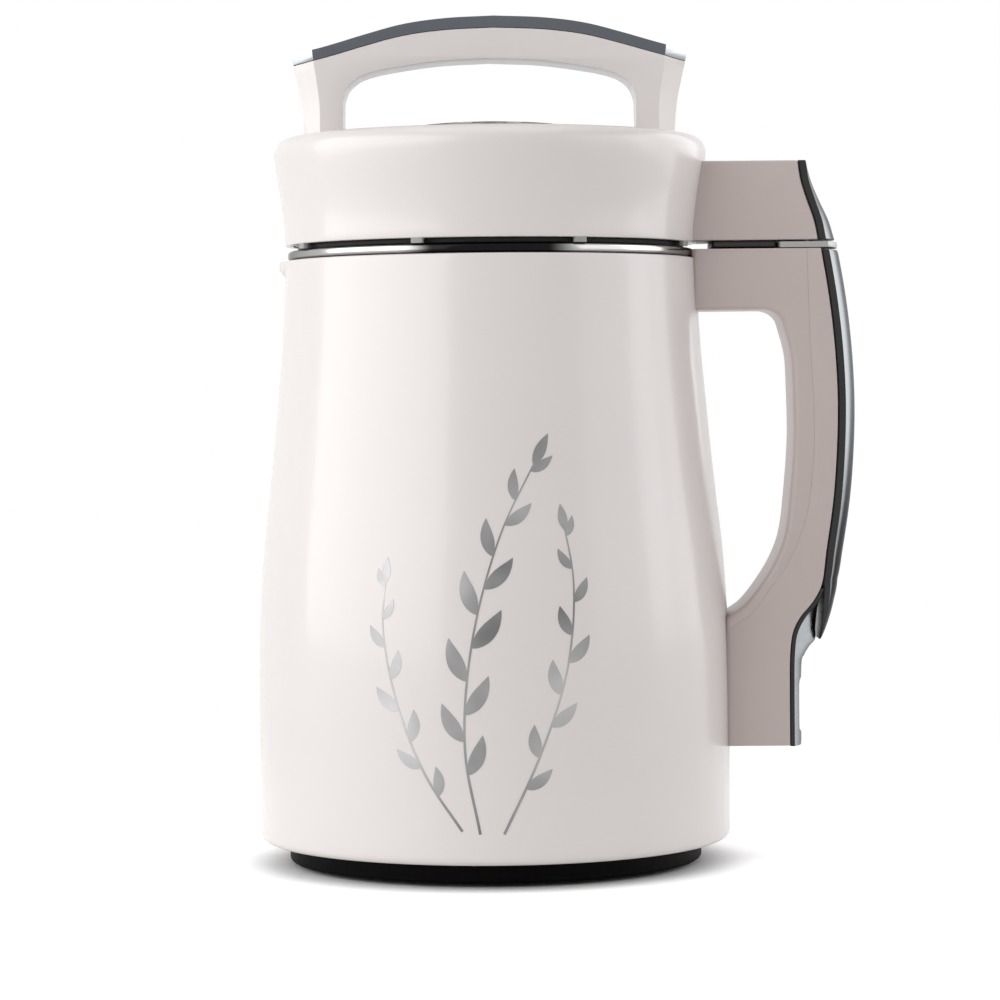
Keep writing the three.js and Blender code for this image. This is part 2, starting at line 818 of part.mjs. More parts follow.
function foot([x, y]) {
  const edge = footHeight / 4;
  return moved(turned([
    [0, 0],
    [footRadius - edge, 0],
    [footRadius, edge],
    [footRadius, footHeight],
    [0, footHeight],
  ], smallSides), x, y, 0);
}

function uprightScrew(x, y, headBaseZ, length, direction) {
  const headEnd = headBaseZ - direction * screwHeadHeight;
  const tip = headBaseZ + direction * length;
  return joined(
    uprightRod(screwHeadRadius, x, y, Math.min(headBaseZ, headEnd), Math.max(headBaseZ, headEnd)),
    uprightRod(screwRadius, x, y, Math.min(headEnd, tip), Math.max(headEnd, tip)),
  );
}

function handleScrew(z) {
  const seatX = shellRadiusAt(z) - shellWall - seatGap - screwHeadHeight / 4;
  return joined(
    rodAlongX(screwHeadRadius, seatX - screwHeadHeight, seatX, 0, z),
    rodAlongX(handleScrewRadius, seatX - screwHeadHeight, seatX + handleScrewLength, 0, z),
  );
}

const heaterPlateTopZ = cupFloorZ - seatGap;
const heaterPlateBottomZ = heaterPlateTopZ - heaterPlateHeight;
const heaterTubeZ = heaterPlateBottomZ - seatGap - heaterTubeRadius;

function heaterPlate() {
  const edge = heaterPlateHeight / 4;
  return turned([
    [0, heaterPlateBottomZ],
    [heaterPlateRadius - edge, heaterPlateBottomZ],
    [heaterPlateRadius, heaterPlateBottomZ + edge],
    [heaterPlateRadius, heaterPlateTopZ],
    [0, heaterPlateTopZ],
  ], mediumSides);
}

// An open ring with both ends turned down
function heaterTube() {
  const arc = Array.from({ length: heaterArcSteps + 1 }, (_, i) => {
    const angle = turn * (heaterStartShare + heaterArcShare * i / heaterArcSteps);
    return [heaterRingRadius * Math.cos(angle), heaterRingRadius * Math.sin(angle), heaterTubeZ];
  });
  const [firstX, firstY] = arc[0];
  const [lastX, lastY] = arc[arc.length - 1];
  const endX = firstX - heaterTubeRadius;
  const [bendShare, tipShare] = heaterEndShares;
  const points = [
    [endX, firstY * tipShare, heaterTubeZ - heaterEndDrop],
    [endX, firstY * bendShare, heaterTubeZ - heaterEndDrop / 3],
    [firstX, firstY, heaterTubeZ],
    ...arc.slice(1, -1),
    [lastX, lastY, heaterTubeZ],
    [endX, lastY * bendShare, heaterTubeZ - heaterEndDrop / 3],
    [endX, lastY * tipShare, heaterTubeZ - heaterEndDrop],
  ];
  return tubeAlong(points, heaterTubeRadius, heaterTubeSteps, leadSides);
}

function thermostat() {
  const topZ = heaterPlateBottomZ - seatGap;
  const bottomZ = topZ - thermostatHeight;
  return joined(
    uprightRod(thermostatRadius, 0, 0, bottomZ, topZ, smallSides),
    ...[-1, 1].map((side) => block(
      side * thermostatTab - thermostatTab / 4,
      side * thermostatTab + thermostatTab / 4,
      -thermostatTab,
      thermostatTab,
      bottomZ - 2 * thermostatTab,
      bottomZ + thermostatTab / 4,
    )),
  );
}

function powerBoard() {
  const topZ = boardZ + boardThickness;
  const sink = boardThickness / 2;
  const part = (x, y, length, width, height) => block(
    x - length / 2, x + length / 2, y - width / 2, y + width / 2, topZ - sink, topZ + height,
  );
  return joined(
    block(-boardLength / 2, boardLength / 2, -boardWidth / 2, boardWidth / 2, boardZ, topZ),
    part(-boardLength / 4, boardWidth / 5, transformerLength, transformerWidth, transformerHeight),
    part(boardLength / 12, -boardWidth / 6, relayLength, relayWidth, relayHeight),
    part(-boardLength / 4, -boardWidth / 3, relayLength, relayWidth * 0.7, relayHeight * 0.8),
    part(boardLength / 2 - terminalLength, 0, terminalLength, terminalWidth, terminalHeight),
    uprightRod(relayWidth / 3, boardLength / 8, boardWidth / 4, topZ - sink, topZ + transformerHeight),
  );
}

// Side handle

function handleOutline() {
  const back = handleBackShares.map(handlePoint);
  const opening = handleInnerShares.map(handlePoint);
  const lowest = opening[0][1] - handleWall;
  const highest = opening[opening.length - 1][1];
  return [
    [handleInsideX, handleTopZ],
    [handleInsideX, highest],
    ...opening.reverse(),
    [handleInsideX, lowest],
    [handleInsideX, handleBottomZ],
    ...back.reverse(),
  ];
}

// The handle's opening with rounded edges, in a plate that is larger than the handle
function gripRounder() {
  const opening = handleInnerShares.map(handlePoint);
  const lowest = opening[0][1] - handleWall;
  const highest = opening[opening.length - 1][1];
  const near = handleInsideX - gripRounding;
  const far = handleRootX + handleReach + 2 * gripRounding;
  return plateAcrossY([
    [near, handleTopZ + 2 * gripRounding],
    [near, highest],
    ...opening.reverse(),
    [near, lowest],
    [near, handleBottomZ - 2 * gripRounding],
    [far, handleBottomZ - 2 * gripRounding],
    [far, handleTopZ + 2 * gripRounding],
  ], handleDepth, gripRounding);
}

function seamSide(shift) {
  const seam = handleSeamShares.map(handlePoint).map(([x, z]) => [x + shift, z]);
  const [topX] = seam[0];
  const [lastX, lastZ] = seam[seam.length - 1];
  const nearX = Math.min(lastX, handleInsideX) - overrun;
  return plateAcrossY([
    [nearX, handleTopZ + overrun],
    [nearX, lastZ],
    ...seam.reverse(),
    [topX, handleTopZ + overrun],
  ], handleDepth + 2 * overrun);
}

const socketHalfLength = plugLength / 2 + socketClearance + socketWall;
const socketHalfWidth = plugWidth / 2 + socketClearance + socketWall;

function handleShells() {
  const outline = handleOutline();
  const jug = jugSpace(seatGap);
  const body = plateAcrossY(outline, handleDepth).intersect(gripRounder());
  const hollow = plateAcrossY(insetOutline(outline, handleWall), handleDepth - 2 * handleWall);
  const walls = cut(body, hollow);
  const upperBoss = rodAlongX(
    handleBossRadius, neckRadius - shellWall, neckRadius + handleBossLength, 0, upperScrewZ,
  );
  const upperWeb = block(
    neckRadius - shellWall,
    neckRadius + handleBossLength,
    -handleWall / 2,
    handleWall / 2,
    openingTopZ + handleWall / 2,
    upperScrewZ,
  );
  const lowerBoss = rodAlongX(
    handleBossRadius, bellyRadius - shellWall, bellyRadius + handleBossLength, 0, lowerScrewZ,
  );
  const lowerWeb = block(
    bellyRadius - shellWall,
    bellyRadius + handleBossLength,
    -handleDepth / 2 + handleWall / 2,
    0,
    lowerScrewZ - handleWall / 2,
    lowerScrewZ + handleWall / 2,
  );
  const socketHole = block(
    plugX - socketHalfLength - seatGap,
    plugX + socketHalfLength + seatGap,
    -socketHalfWidth - seatGap,
    socketHalfWidth + seatGap,
    socketBottomZ - seatGap,
    handleTopZ + overrun,
  );
  const inletHole = lyingAlongX(
    roundedRectangle(inletWidth / 2 + seatGap, inletHeight / 2 + seatGap, handleWall, 2)
      .map(([y, z]) => [y, z + inletZ]),
    handleRootX + handleWall,
    handleRootX + handleReach,
  );
  const bore = handleScrewRadius + seatGap;
  const boreLength = shellWall + handleBossLength + overrun;
  const upperBoreX = neckRadius - shellWall;
  const lowerBoreX = bellyRadius - shellWall;
  const upperBore = rodAlongX(bore, upperBoreX, upperBoreX + boreLength, 0, upperScrewZ);
  const lowerBore = rodAlongX(bore, lowerBoreX, lowerBoreX + boreLength, 0, lowerScrewZ);
  const grip = cut(joined(walls.intersect(seamSide(0)), upperBoss, upperWeb), jug, socketHole, upperBore);
  const back = cut(
    joined(cut(walls, seamSide(seatGap)), lowerBoss, lowerWeb),
    jug,
    socketHole,
    inletHole,
    lowerBore,
  );
  return { grip, back };
}

// A strip's section at one height: a flat back, two sides and a crowned face
function crownedSection(backX, thickness, crown, halfWidth) {
  const steps = 6;
  const face = Array.from({ length: steps + 1 }, (_, i) => {
    const across = -1 + 2 * i / steps;
    return [backX + thickness + crown * (1 - across * across), across * halfWidth];
  });
  return [[backX, -halfWidth], ...face, [backX, halfWidth]];
}

function handleTrim() {
  const [tipShare] = trimShares[trimShares.length - 1];
  const rings = [...trimShares].reverse().map(([t, thick, crown]) => {
    const tail = Math.max(0, (trimTailShare - t) / (trimTailShare - tipShare));
    return {
      z: handleBottomZ + t * handleHeight,
      points: crownedSection(
        handleBackX(Math.max(t, trimTailShare)) + seatGap,
        thick * trimThickness,
        crown * trimCrown,
        handleDepth / 2 * (1 - tail * tail * (1 - trimTipDepthShare)),
      ),
    };
  });
  return lofted(rings);
}

function inletBezel() {
  const rings = bezelShares.map(([t, thick, crown]) => ({
    z: handleBottomZ + t * handleHeight,
    points: crownedSection(
      handleBackX(t) + seatGap, thick * bezelThickness, crown * bezelCrown, handleDepth / 2,
    ),
  }));
  const hole = lyingAlongX(
    roundedRectangle(inletWidth / 2 + seatGap, inletHeight / 2 + seatGap, handleWall, 2)
      .map(([y, z]) => [y, z + inletZ]),
    handleRootX + handleWall,
    handleRootX + handleReach,
  );
  return cut(lofted(rings), hole);
}

const inletFaceX = handleBackX(0) + seatGap + bezelThickness + bezelCrown / 2;
const inletBackX = inletFaceX - inletDepth;

function inletPlaces() {
  return {
    earth: [0, inletZ + earthPinRise],
    live: [pinSpacing / 2, inletZ - livePinDrop],
    neutral: [-pinSpacing / 2, inletZ - livePinDrop],
  };
}

function inletPin([y, z], gap) {
  const endX = inletFaceX - inletRecessDepth / 6;
  return block(
    endX - pinLength - gap,
    endX + gap,
    y - pinThickness / 2 - gap,
    y + pinThickness / 2 + gap,
    z - pinWidth / 2 - gap,
    z + pinWidth / 2 + gap,
  );
}

function inletSocket() {
  const raised = ([y, z]) => [y, z + inletZ];
  const outside = roundedRectangle(inletWidth / 2, inletHeight / 2, handleWall - seatGap, 2).map(raised);
  const [halfWidth, halfHeight] = [inletRecessWidth / 2, inletRecessHeight / 2];
  const recess = [
    [-halfWidth, -halfHeight],
    [halfWidth, -halfHeight],
    [halfWidth, halfHeight - inletRecessCut],
    [halfWidth - inletRecessCut, halfHeight],
    [-halfWidth + inletRecessCut, halfHeight],
    [-halfWidth, halfHeight - inletRecessCut],
  ].map(raised);
  return cut(
    lyingAlongX(outside, inletBackX, inletFaceX),
    lyingAlongX(recess, inletFaceX - inletRecessDepth, inletFaceX + overrun),
    ...Object.values(inletPlaces()).map((place) => inletPin(place, seatGap)),
  );
}

function handleTopPlate() {
  const sideX = handleBackX(1) + trimSideX - seatGap;
  const section = crownedSection(sideX - topPlateLength, topPlateLength, trimCrown, handleDepth / 2);
  return lofted([
    { z: handleTopZ + seatGap, points: section },
    { z: handleTopZ + seatGap + topPlateHeight, points: section },
  ]);
}

function couplerSocket() {
  const body = block(
    plugX - socketHalfLength,
    plugX + socketHalfLength,
    -socketHalfWidth,
    socketHalfWidth,
    socketBottomZ,
    socketTopZ,
  );
  const recess = block(
    plugX - plugLength / 2 - socketClearance,
    plugX + plugLength / 2 + socketClearance,
    -plugWidth / 2 - socketClearance,
    plugWidth / 2 + socketClearance,
    socketBottomZ + socketFloor,
    socketTopZ + overrun,
  );
  return cut(body, recess);
}

// Leads inside the jug, each along its own hand-laid route [x, y, z]

// The middle of the hollow grip, where its lead runs
function channelPoint(t) {
  const inner = handleRootX + between(handleInnerShares, t) * handleReach;
  return [(inner + handleBackX(t)) / 2, 0, handleBottomZ + t * handleHeight];
}

function leadCoupler() {
  const boardTopZ = boardZ + boardThickness + terminalHeight;
  const startX = plugX + socketHalfLength + seatGap;
  const startZ = socketBottomZ + leadRadius * 1.6;
  return tubeAlong([
    [startX, 0, startZ],
    [startX + leadRadius, 0, startZ],
    [startX + leadRadius * 3.4, 0, startZ - leadRadius * 1.4],
    ...leadChannelShares.map(channelPoint),
    [bellyRadius + handleWall * 3, 0, couplerLeadZ + leadRadius * 1.1],
    [bellyRadius - shellWall, 0, couplerLeadZ],
    [bellyRadius - shellWall * 4, 0, couplerLeadZ - leadRadius * 4],
    [bellyRadius - shellWall * 4.6, 0, couplerLeadZ - leadRadius * 11],
    [bellyRadius - shellWall * 7, leadRadius * 2, couplerLeadZ - leadRadius * 18],
    [boardLength / 2 - terminalLength * 0.7, leadRadius * 2.6, boardTopZ + leadRadius * 3.4],
    [boardLength / 2 - terminalLength, leadRadius * 2.6, boardTopZ + leadRadius * 1.4],
    [boardLength / 2 - terminalLength, leadRadius * 2.6, boardTopZ + seatGap],
  ], leadRadius, couplerLeadSteps, leadSides);
}

function leadMains() {
  const boardTopZ = boardZ + boardThickness + terminalHeight;
  return tubeAlong([
    [inletBackX - seatGap, 0, mainsLeadZ],
    [bellyRadius - shellWall, 0, mainsLeadZ],
    [bellyRadius - shellWall * 3, -leadRadius, mainsLeadZ - leadRadius * 3.4],
    [bellyRadius - shellWall * 6, -leadRadius * 2.4, mainsLeadZ - leadRadius * 8],
    [boardLength / 2 - terminalLength * 0.6, -leadRadius * 2.8, boardTopZ + leadRadius * 3.6],
    [boardLength / 2 - terminalLength, -leadRadius * 2.8, boardTopZ + leadRadius * 1.4],
    [boardLength / 2 - terminalLength, -leadRadius * 2.8, boardTopZ + seatGap],
  ], leadRadius, mainsLeadSteps, leadSides);
}

// Head pieces

const headInnerRadius = headBottomRadius - headWall;
const panelHoleRadius = panelRadius + seatGap;
const panelLedgeZ = headTopZ - panelSeatDepth;
const drumFlangeZ = headBottomZ + seatGap;
const drumFlangeRadius = headInnerRadius - seatGap;
const headLedgeZ = drumFlangeZ + drumFlangeThickness + seatGap;

function headShell() {
  const outer = headShares.map(([t]) => [headRadiusAt(t), headBottomZ + t * headHeight]);
  const inner = outer.map(([r, z]) => [r - headWall, z]).slice(1, -1).reverse();
  const shoulder = [0, 1, 2, 3].map((step) => {
    const angle = turn / 4 * step / 3;
    return [
      headTopRadius - headShoulderRadius * (1 - Math.cos(angle)),
      headTopZ - headShoulderRadius * (1 - Math.sin(angle)),
    ];
  });
  const deckBottomZ = headTopZ - headWall;
  const ledgeInner = panelHoleRadius - panelLedgeWidth;
  const shell = turned([
    [headInnerRadius, headBottomZ],
    [headBottomRadius, headBottomZ],
    ...outer.slice(0, -1),
    ...shoulder,
    [panelHoleRadius, headTopZ],
    [panelHoleRadius, panelLedgeZ],
    [ledgeInner, panelLedgeZ],
    [ledgeInner, panelLedgeZ - headWall],
    [panelHoleRadius + headWall, panelLedgeZ - headWall],
    [panelHoleRadius + headWall, deckBottomZ],
    [headTopRadius - headShoulderRadius, deckBottomZ],
    [headTopRadius - headWall, headTopZ - headShoulderRadius],
    ...inner,
    [headInnerRadius, headLedgeZ + headLedge],
    [headLedgeRadius, headLedgeZ + headLedge],
    [headLedgeRadius, headLedgeZ],
    [headInnerRadius, headLedgeZ],
  ], largeSides);
  const ribOuter = headInnerRadius + ribDepth;
  const ribs = Array.from({ length: ribCount }, (_, i) => spun(
    block(
      headInnerRadius + seatGap,
      ribOuter,
      -ribWidth / 2,
      ribWidth / 2,
      rimTopZ + seatGap,
      headBottomZ + ribRise,
    ),
    ribPhaseDeg - 90 + 360 * i / ribCount,
  ));
  const screwHoles = [-1, 1].map((side) => uprightRod(
    screwRadius + seatGap, side * carryScrewX, 0, deckBottomZ - overrun, headTopZ + overrun,
  ));
  const leadHole = rodAlongX(
    leadRadius + leadHoleClearance,
    headInnerRadius - 2 * headWall,
    headSideRadius + overrun,
    0,
    couplerZ + couplerHeight / 2,
  );
  return cut(joined(shell, ...ribs), ...screwHoles, leadHole);
}

const panelSphereRadius = (panelRadius ** 2 + panelRise ** 2) / (2 * panelRise);

function panelZ(radius) {
  return headTopZ + panelRise - panelSphereRadius + Math.sqrt(panelSphereRadius ** 2 - radius ** 2);
}

function buttonPlaces() {
  return Array.from({ length: buttonCount }, (_, i) => {
    const angle = turn / 360 * (-90 + buttonStepDeg * (i - (buttonCount - 1) / 2));
    return [buttonCircleRadius * Math.cos(angle), buttonCircleRadius * Math.sin(angle)];
  });
}

const controlBoardTopZ = controlBoardZ + controlBoardThickness;
const panelRadiusShares = [0, 0.3, 0.55, 0.78, 1];

function controlPanel() {
  const innerRadius = panelRadius - panelLedgeWidth;
  const top = panelRadiusShares.map((s) => [s * panelRadius, panelZ(s * panelRadius)]);
  const under = [...panelRadiusShares].reverse().map((s) => (
    [s * innerRadius, panelZ(s * innerRadius) - panelThickness]
  ));
  const dome = turned([
    ...top,
    [panelRadius, panelLedgeZ + seatGap],
    [innerRadius, panelLedgeZ + seatGap],
    ...under,
  ], largeSides);
  const posts = Array.from({ length: controlPostCount }, (_, i) => {
    const angle = turn * (i + 3 / 4) / controlPostCount;
    return uprightRod(
      controlPostRadius,
      controlPostCircleRadius * Math.cos(angle),
      controlPostCircleRadius * Math.sin(angle),
      controlBoardTopZ + seatGap,
      panelZ(controlPostCircleRadius) - panelThickness / 2,
      leadSides,
    );
  });
  const holes = buttonPlaces().map(([x, y]) => (
    uprightRod(buttonRadius + seatGap, x, y, panelLedgeZ, headTopZ + panelRise + overrun, buttonSides)
  ));
  return cut(joined(dome, ...posts), ...holes);
}

const buttonFlangeTopZ = panelZ(buttonCircleRadius + buttonFlangeRadius) - panelThickness - seatGap;
const buttonBottomZ = buttonFlangeTopZ - buttonFlange - buttonStem;

function button([x, y]) {
  const topZ = panelZ(buttonCircleRadius) + buttonProud;
  return moved(turned([
    [0, buttonBottomZ],
    [buttonStemRadius, buttonBottomZ],
    [buttonStemRadius, buttonFlangeTopZ - buttonFlange],
    [buttonFlangeRadius, buttonFlangeTopZ - buttonFlange],
    [buttonFlangeRadius, buttonFlangeTopZ],
    [buttonRadius, buttonFlangeTopZ],
    [buttonRadius, topZ - buttonProud / 2],
    [buttonRadius - buttonProud, topZ],
    [0, topZ],
  ], buttonSides), x, y, 0);
}

function controlBoard() {
  const switches = buttonPlaces().map(([x, y]) => block(
    x - buttonStemRadius,
    x + buttonStemRadius,
    y - buttonStemRadius,
    y + buttonStemRadius,
    controlBoardTopZ - controlBoardThickness / 2,
    buttonBottomZ - buttonTravel - seatGap,
  ));
  return joined(
    uprightRod(controlBoardRadius, 0, 0, controlBoardZ, controlBoardTopZ, mediumSides),
    block(
      -displayLength / 2,
      displayLength / 2,
      -displayWidth / 4,
      displayWidth * 0.75,
      controlBoardTopZ - controlBoardThickness / 2,
      controlBoardTopZ + displayHeight,
    ),
    ...switches,
  );
}

const carryBottomZ = headTopZ + seatGap;

function carryPlan() {
  const height = carryApexZ - carryBottomZ;
  return lofted(carryLegShares.map(([t, s]) => ({
    z: carryBottomZ + t * height,
    points: roundedRectangle(s * carryHalfSpan, carryDepth / 2, carryCornerRadius, 4),
  })));
}

function archLine(lift, drop) {
  const right = carryArchShares.map(([s, d]) => [s * carryHalfSpan, carryApexZ + lift - d * drop]);
  const left = right.slice(1).reverse().map(([x, z]) => [-x, z]);
  return [...left, ...right];
}

function carryHandle() {
  const height = carryOpeningApexZ - carryBottomZ;
  const right = carryOpeningShares.map(([s, t]) => [s * carryOpeningHalfWidth, carryBottomZ + t * height]);
  const left = right.slice(1).reverse().map(([x, z]) => [-x, z]);
  const arch = archLine(0, carryArchDrop);
  const endZ = carryApexZ - carryArchDrop;
  const far = carryHalfSpan + overrun;
  const outline = [
    [-far, carryBottomZ],
    ...left,
    ...right,
    [far, carryBottomZ],
    [far, endZ],
    ...arch.reverse(),
    [-far, endZ],
  ];
  const screwHoles = [-1, 1].map((side) => uprightRod(
    screwRadius + seatGap, side * carryScrewX, 0, carryBottomZ - overrun, carryBottomZ + carryScrewLength,
  ));
  return cut(plateAcrossY(outline, carryDepth + overrun).intersect(carryPlan()), ...screwHoles);
}

function carryTrim() {
  const lower = archLine(seatGap, carryArchDrop);
  const upper = archLine(carryTrimThickness, carryArchDrop + seatGap);
  const far = carryHalfSpan + overrun;
  const outline = [
    [-far, lower[0][1]],
    ...lower,
    [far, lower[0][1]],
    [far, upper[0][1]],
    ...upper.reverse(),
    [-far, upper[0][1]],
  ];
  return plateAcrossY(outline, carryDepth + overrun).intersect(carryPlan());
}

// Coupler on the head's side

const couplerInsideX = Math.min(headBottomRadius, headTopRadius) - 2 * couplerWall;

function couplerOutline(wall) {
  const back = couplerBackShares.map(([t, s]) => [
    handleRootX + s * handleReach - wall,
    couplerZ + t * couplerHeight,
  ]);
  back[0][1] -= wall > 0 ? overrun : 0;
  back[back.length - 1][1] -= wall;
  const nearX = wall > 0 ? headSideRadius + couplerWall + seatGap : couplerInsideX;
  return [[nearX, back[0][1]], ...back, [nearX, back[back.length - 1][1]]];
}

function couplerHousing() {
  const body = plateAcrossY(couplerOutline(0), handleDepth);
  const hollow = plateAcrossY(couplerOutline(couplerWall), handleDepth - 2 * couplerWall);
  const leadHole = rodAlongX(
    leadRadius + leadHoleClearance,
    couplerInsideX,
    headSideRadius + 2 * couplerWall,
    0,
    couplerZ + couplerHeight / 2,
  );
  return cut(body, headSpace(seatGap), hollow, leadHole);
}

function couplerTrim() {
  return lofted(couplerTrimShares.map(([t, thick, crown]) => ({
    z: couplerZ + t * couplerHeight,
    points: crownedSection(
      handleRootX + between(couplerBackShares, t) * handleReach + seatGap,
      thick * trimThickness,
      crown * couplerTrimCrown,
      handleDepth / 2,
    ),
  })));
}

function couplerPlug() {
  const nearX = headSideRadius + couplerWall + 2 * seatGap;
  const farX = handleRootX + couplerBackShares[1][1] * handleReach - couplerWall - seatGap;
  const halfWidth = handleDepth / 2 - couplerWall - seatGap;
  return joined(
    block(nearX, farX, -halfWidth, halfWidth, couplerZ + seatGap, couplerZ + seatGap + plugFlange),
    block(
      plugX - plugLength / 2,
      plugX + plugLength / 2,
      -plugWidth / 2,
      plugWidth / 2,
      couplerZ - plugDrop,
      couplerZ + plugFlange / 2,
    ),
  );
}

// Drum, seal and probes

function lugs() {
  return [0, 1].map((side) => spun(
    block(
      stemRadius - lugReach, stemRadius + lugReach, -lugWidth / 2, lugWidth / 2, lugZ, lugZ + lugHeight,
    ),
    180 * side,
  ));
}

function probePlaces() {
  return { temperature: [0, probeCircleRadius], overflow: [0, -probeCircleRadius] };
}

function lowerDrum() {
  const floorZ = drumBottomZ + drumWall;
  const inner = drumRadius - drumWall;
  const shell = turned([
    [stemBoreRadius, stemBottomZ],
    [stemRadius, stemBottomZ],
    [stemRadius, drumBottomZ],
    [drumRadius - drumCornerRadius, drumBottomZ],
    [drumRadius - drumCornerRadius * (1 - Math.SQRT1_2), drumBottomZ + drumCornerRadius * (1 - Math.SQRT1_2)],
    [drumRadius, drumBottomZ + drumCornerRadius],
    [drumRadius, drumFlangeZ],
    [drumFlangeRadius, drumFlangeZ],
    [drumFlangeRadius, drumFlangeZ + drumFlangeThickness],
    [inner, drumFlangeZ + drumFlangeThickness],
    [inner, floorZ + drumCornerRadius],
    [inner - drumCornerRadius, floorZ],
    [stemBoreRadius, floorZ],
  ], largeSides);
  const bore = uprightRod(stemBoreRadius, 0, 0, stemBottomZ - overrun, floorZ + overrun, largeSides);
  const studHoles = Object.values(probePlaces()).map(([x, y]) => uprightRod(
    probeStudRadius + seatGap, x, y, drumFlangeZ - overrun, drumFlangeZ + drumFlangeThickness + overrun,
  ));
  return cut(joined(shell, ...lugs()), bore, ...studHoles);
}

const sealBottomZ = rimTopZ + seatGap;

function headSeal() {
  const skirtOuter = cupInnerRadius - seatGap;
  const skirtInner = skirtOuter - sealSkirtWidth;
  const outer = drumFlangeRadius * sealInnerShare + sealSkirtWidth / 2;
  return turned([
    [skirtInner, sealBottomZ - sealSkirtDrop],
    [skirtOuter, sealBottomZ - sealSkirtDrop],
    [skirtOuter, sealBottomZ],
    [outer, sealBottomZ],
    [outer, drumFlangeZ - seatGap],
    [skirtInner, drumFlangeZ - seatGap],
  ], largeSides);
}

function probe([x, y], radius, tipZ) {
  const collarTopZ = drumFlangeZ - seatGap;
  return moved(turned([
    [0, tipZ],
    [radius * 0.6, tipZ],
    [radius, tipZ + radius * 0.6],
    [radius, collarTopZ - probeCollarHeight],
    [probeCollarRadius, collarTopZ - probeCollarHeight],
    [probeCollarRadius, collarTopZ],
    [probeStudRadius, collarTopZ],
    [probeStudRadius, collarTopZ + probeStudHeight],
    [0, collarTopZ + probeStudHeight],
  ], smallSides), x, y, 0);
}

// Motor

function ring(inner, outer, z0, z1, sides) {
  return turned([[inner, z0], [outer, z0], [outer, z1], [inner, z1]], sides);
}

const drumFloorZ = drumBottomZ + drumWall;
const lowerBracketZ = drumFloorZ + seatGap;

function motorBracketBottom() {
  const outer = drumRadius - drumWall - drumCornerRadius;
  return turned([
    [bracketHubRadius, lowerBracketZ],
    [outer, lowerBracketZ],
    [outer, lowerBracketZ + bracketFloor],
    [bracketRingRadius, lowerBracketZ + bracketFloor],
    [bracketRingRadius, statorZ - seatGap],
    [bracketRingRadius - bracketRingWall, statorZ - seatGap],
    [bracketRingRadius - bracketRingWall, lowerBracketZ + bracketFloor],
    [bracketHubRadius, lowerBracketZ + bracketFloor],
  ], mediumSides);
}

function motorStator() {
  const bore = rotorRadius + airGap;
  const outline = roundedRectangle(statorWidth / 2, statorWidth / 2, statorCornerRadius, 3);
  const topZ = statorZ + statorHeight;
  return cut(
    joined(
      standing(outline, statorZ, topZ),
      ring(bore + airGap, coilRadius, statorZ - coilOverhang, topZ + coilOverhang, mediumSides),
    ),
    uprightRod(bore, 0, 0, statorZ - overrun, topZ + overrun, mediumSides),
  );
}

function motorBracketTop() {
  const plateTopZ = upperBracketZ + upperBracketThickness;
  const postBottomZ = statorZ + statorHeight + coilOverhang + seatGap;
  const plate = uprightRod(upperBracketRadius, 0, 0, upperBracketZ, plateTopZ, mediumSides);
  const hub = uprightRod(upperHubRadius, 0, 0, upperBracketZ, upperBracketZ + upperHubHeight, mediumSides);
  const posts = [-1, 1].map((side) => uprightRod(
    upperBracketPostRadius,
    0,
    side * upperBracketPostCircle,
    postBottomZ,
    upperBracketZ + upperBracketThickness / 2,
    leadSides,
  ));
  const inner = commutatorRadius + brushHolderInset;
  const holders = [-1, 1].map((side) => block(
    Math.min(side * inner, side * (inner + brushLength)),
    Math.max(side * inner, side * (inner + brushLength)),
    -brushWidth / 2 - brushHolderWall,
    brushWidth / 2 + brushHolderWall,
    brushZ - brushHeight / 2 - brushHolderWall,
    upperBracketZ + upperBracketThickness / 2,
  ));
  const brushHoles = [-1, 1].map((side) => brush(side, seatGap, overrun));
  return cut(
    joined(plate, hub, ...holders, ...posts),
    ...brushHoles,
    uprightRod(shaftRadius + airGap, 0, 0, upperBracketZ - overrun, upperBracketZ + upperHubHeight),
    uprightRod(
      bearingRadius + seatGap,
      0,
      0,
      upperBracketZ + upperHubHeight - bearingHeight - seatGap,
      upperBracketZ + upperHubHeight + overrun,
      shaftSides,
    ),
  );
}

function brush(side, gap, extra) {
  const near = commutatorRadius + seatGap - gap;
  const far = commutatorRadius + seatGap + brushLength + gap + 2 * extra;
  return block(
    Math.min(side * near, side * far),
    Math.max(side * near, side * far),
    -brushWidth / 2 - gap,
    brushWidth / 2 + gap,
    brushZ - brushHeight / 2 - gap,
    brushZ + brushHeight / 2 + gap,
  );
}

function bearing(z) {
  return ring(shaftRadius + runGap, bearingRadius, z, z + bearingHeight, shaftSides);
}

function rotor() {
  const points = [];
  for (let i = 0; i < rotorSlots; i += 1) {
    const steps = [[0, 1], [1 - rotorSlotShare, 1], [1 - rotorSlotShare, 0], [1, 0]];
    for (const [along, full] of steps) {
      const angle = turn * (i + along) / rotorSlots;
      const radius = rotorRadius - (1 - full) * rotorSlotDepth;
      points.push([radius * Math.cos(angle), radius * Math.sin(angle)]);
    }
  }
  return cut(
    standing(points, statorZ, statorZ + statorHeight),
    uprightRod(shaftRadius + seatGap, 0, 0, statorZ - overrun, statorZ + statorHeight + overrun, shaftSides),
  );
}

function fan() {
  const plate = ring(shaftRadius + seatGap, fanRadius, fanZ, fanZ + fanPlate, mediumSides);
  const hub = ring(shaftRadius + seatGap, fanHubRadius, fanZ, fanZ + fanPlate + fanBladeHeight, smallSides);
  const blades = Array.from({ length: fanBladeCount }, (_, i) => spun(
    block(
      fanHubRadius - fanBladeThickness,
      fanRadius,
      -fanBladeThickness / 2,
      fanBladeThickness / 2,
      fanZ + fanPlate / 2,
      fanZ + fanPlate + fanBladeHeight,
    ),
    360 * i / fanBladeCount,
  ));
  return joined(plate, hub, ...blades);
}

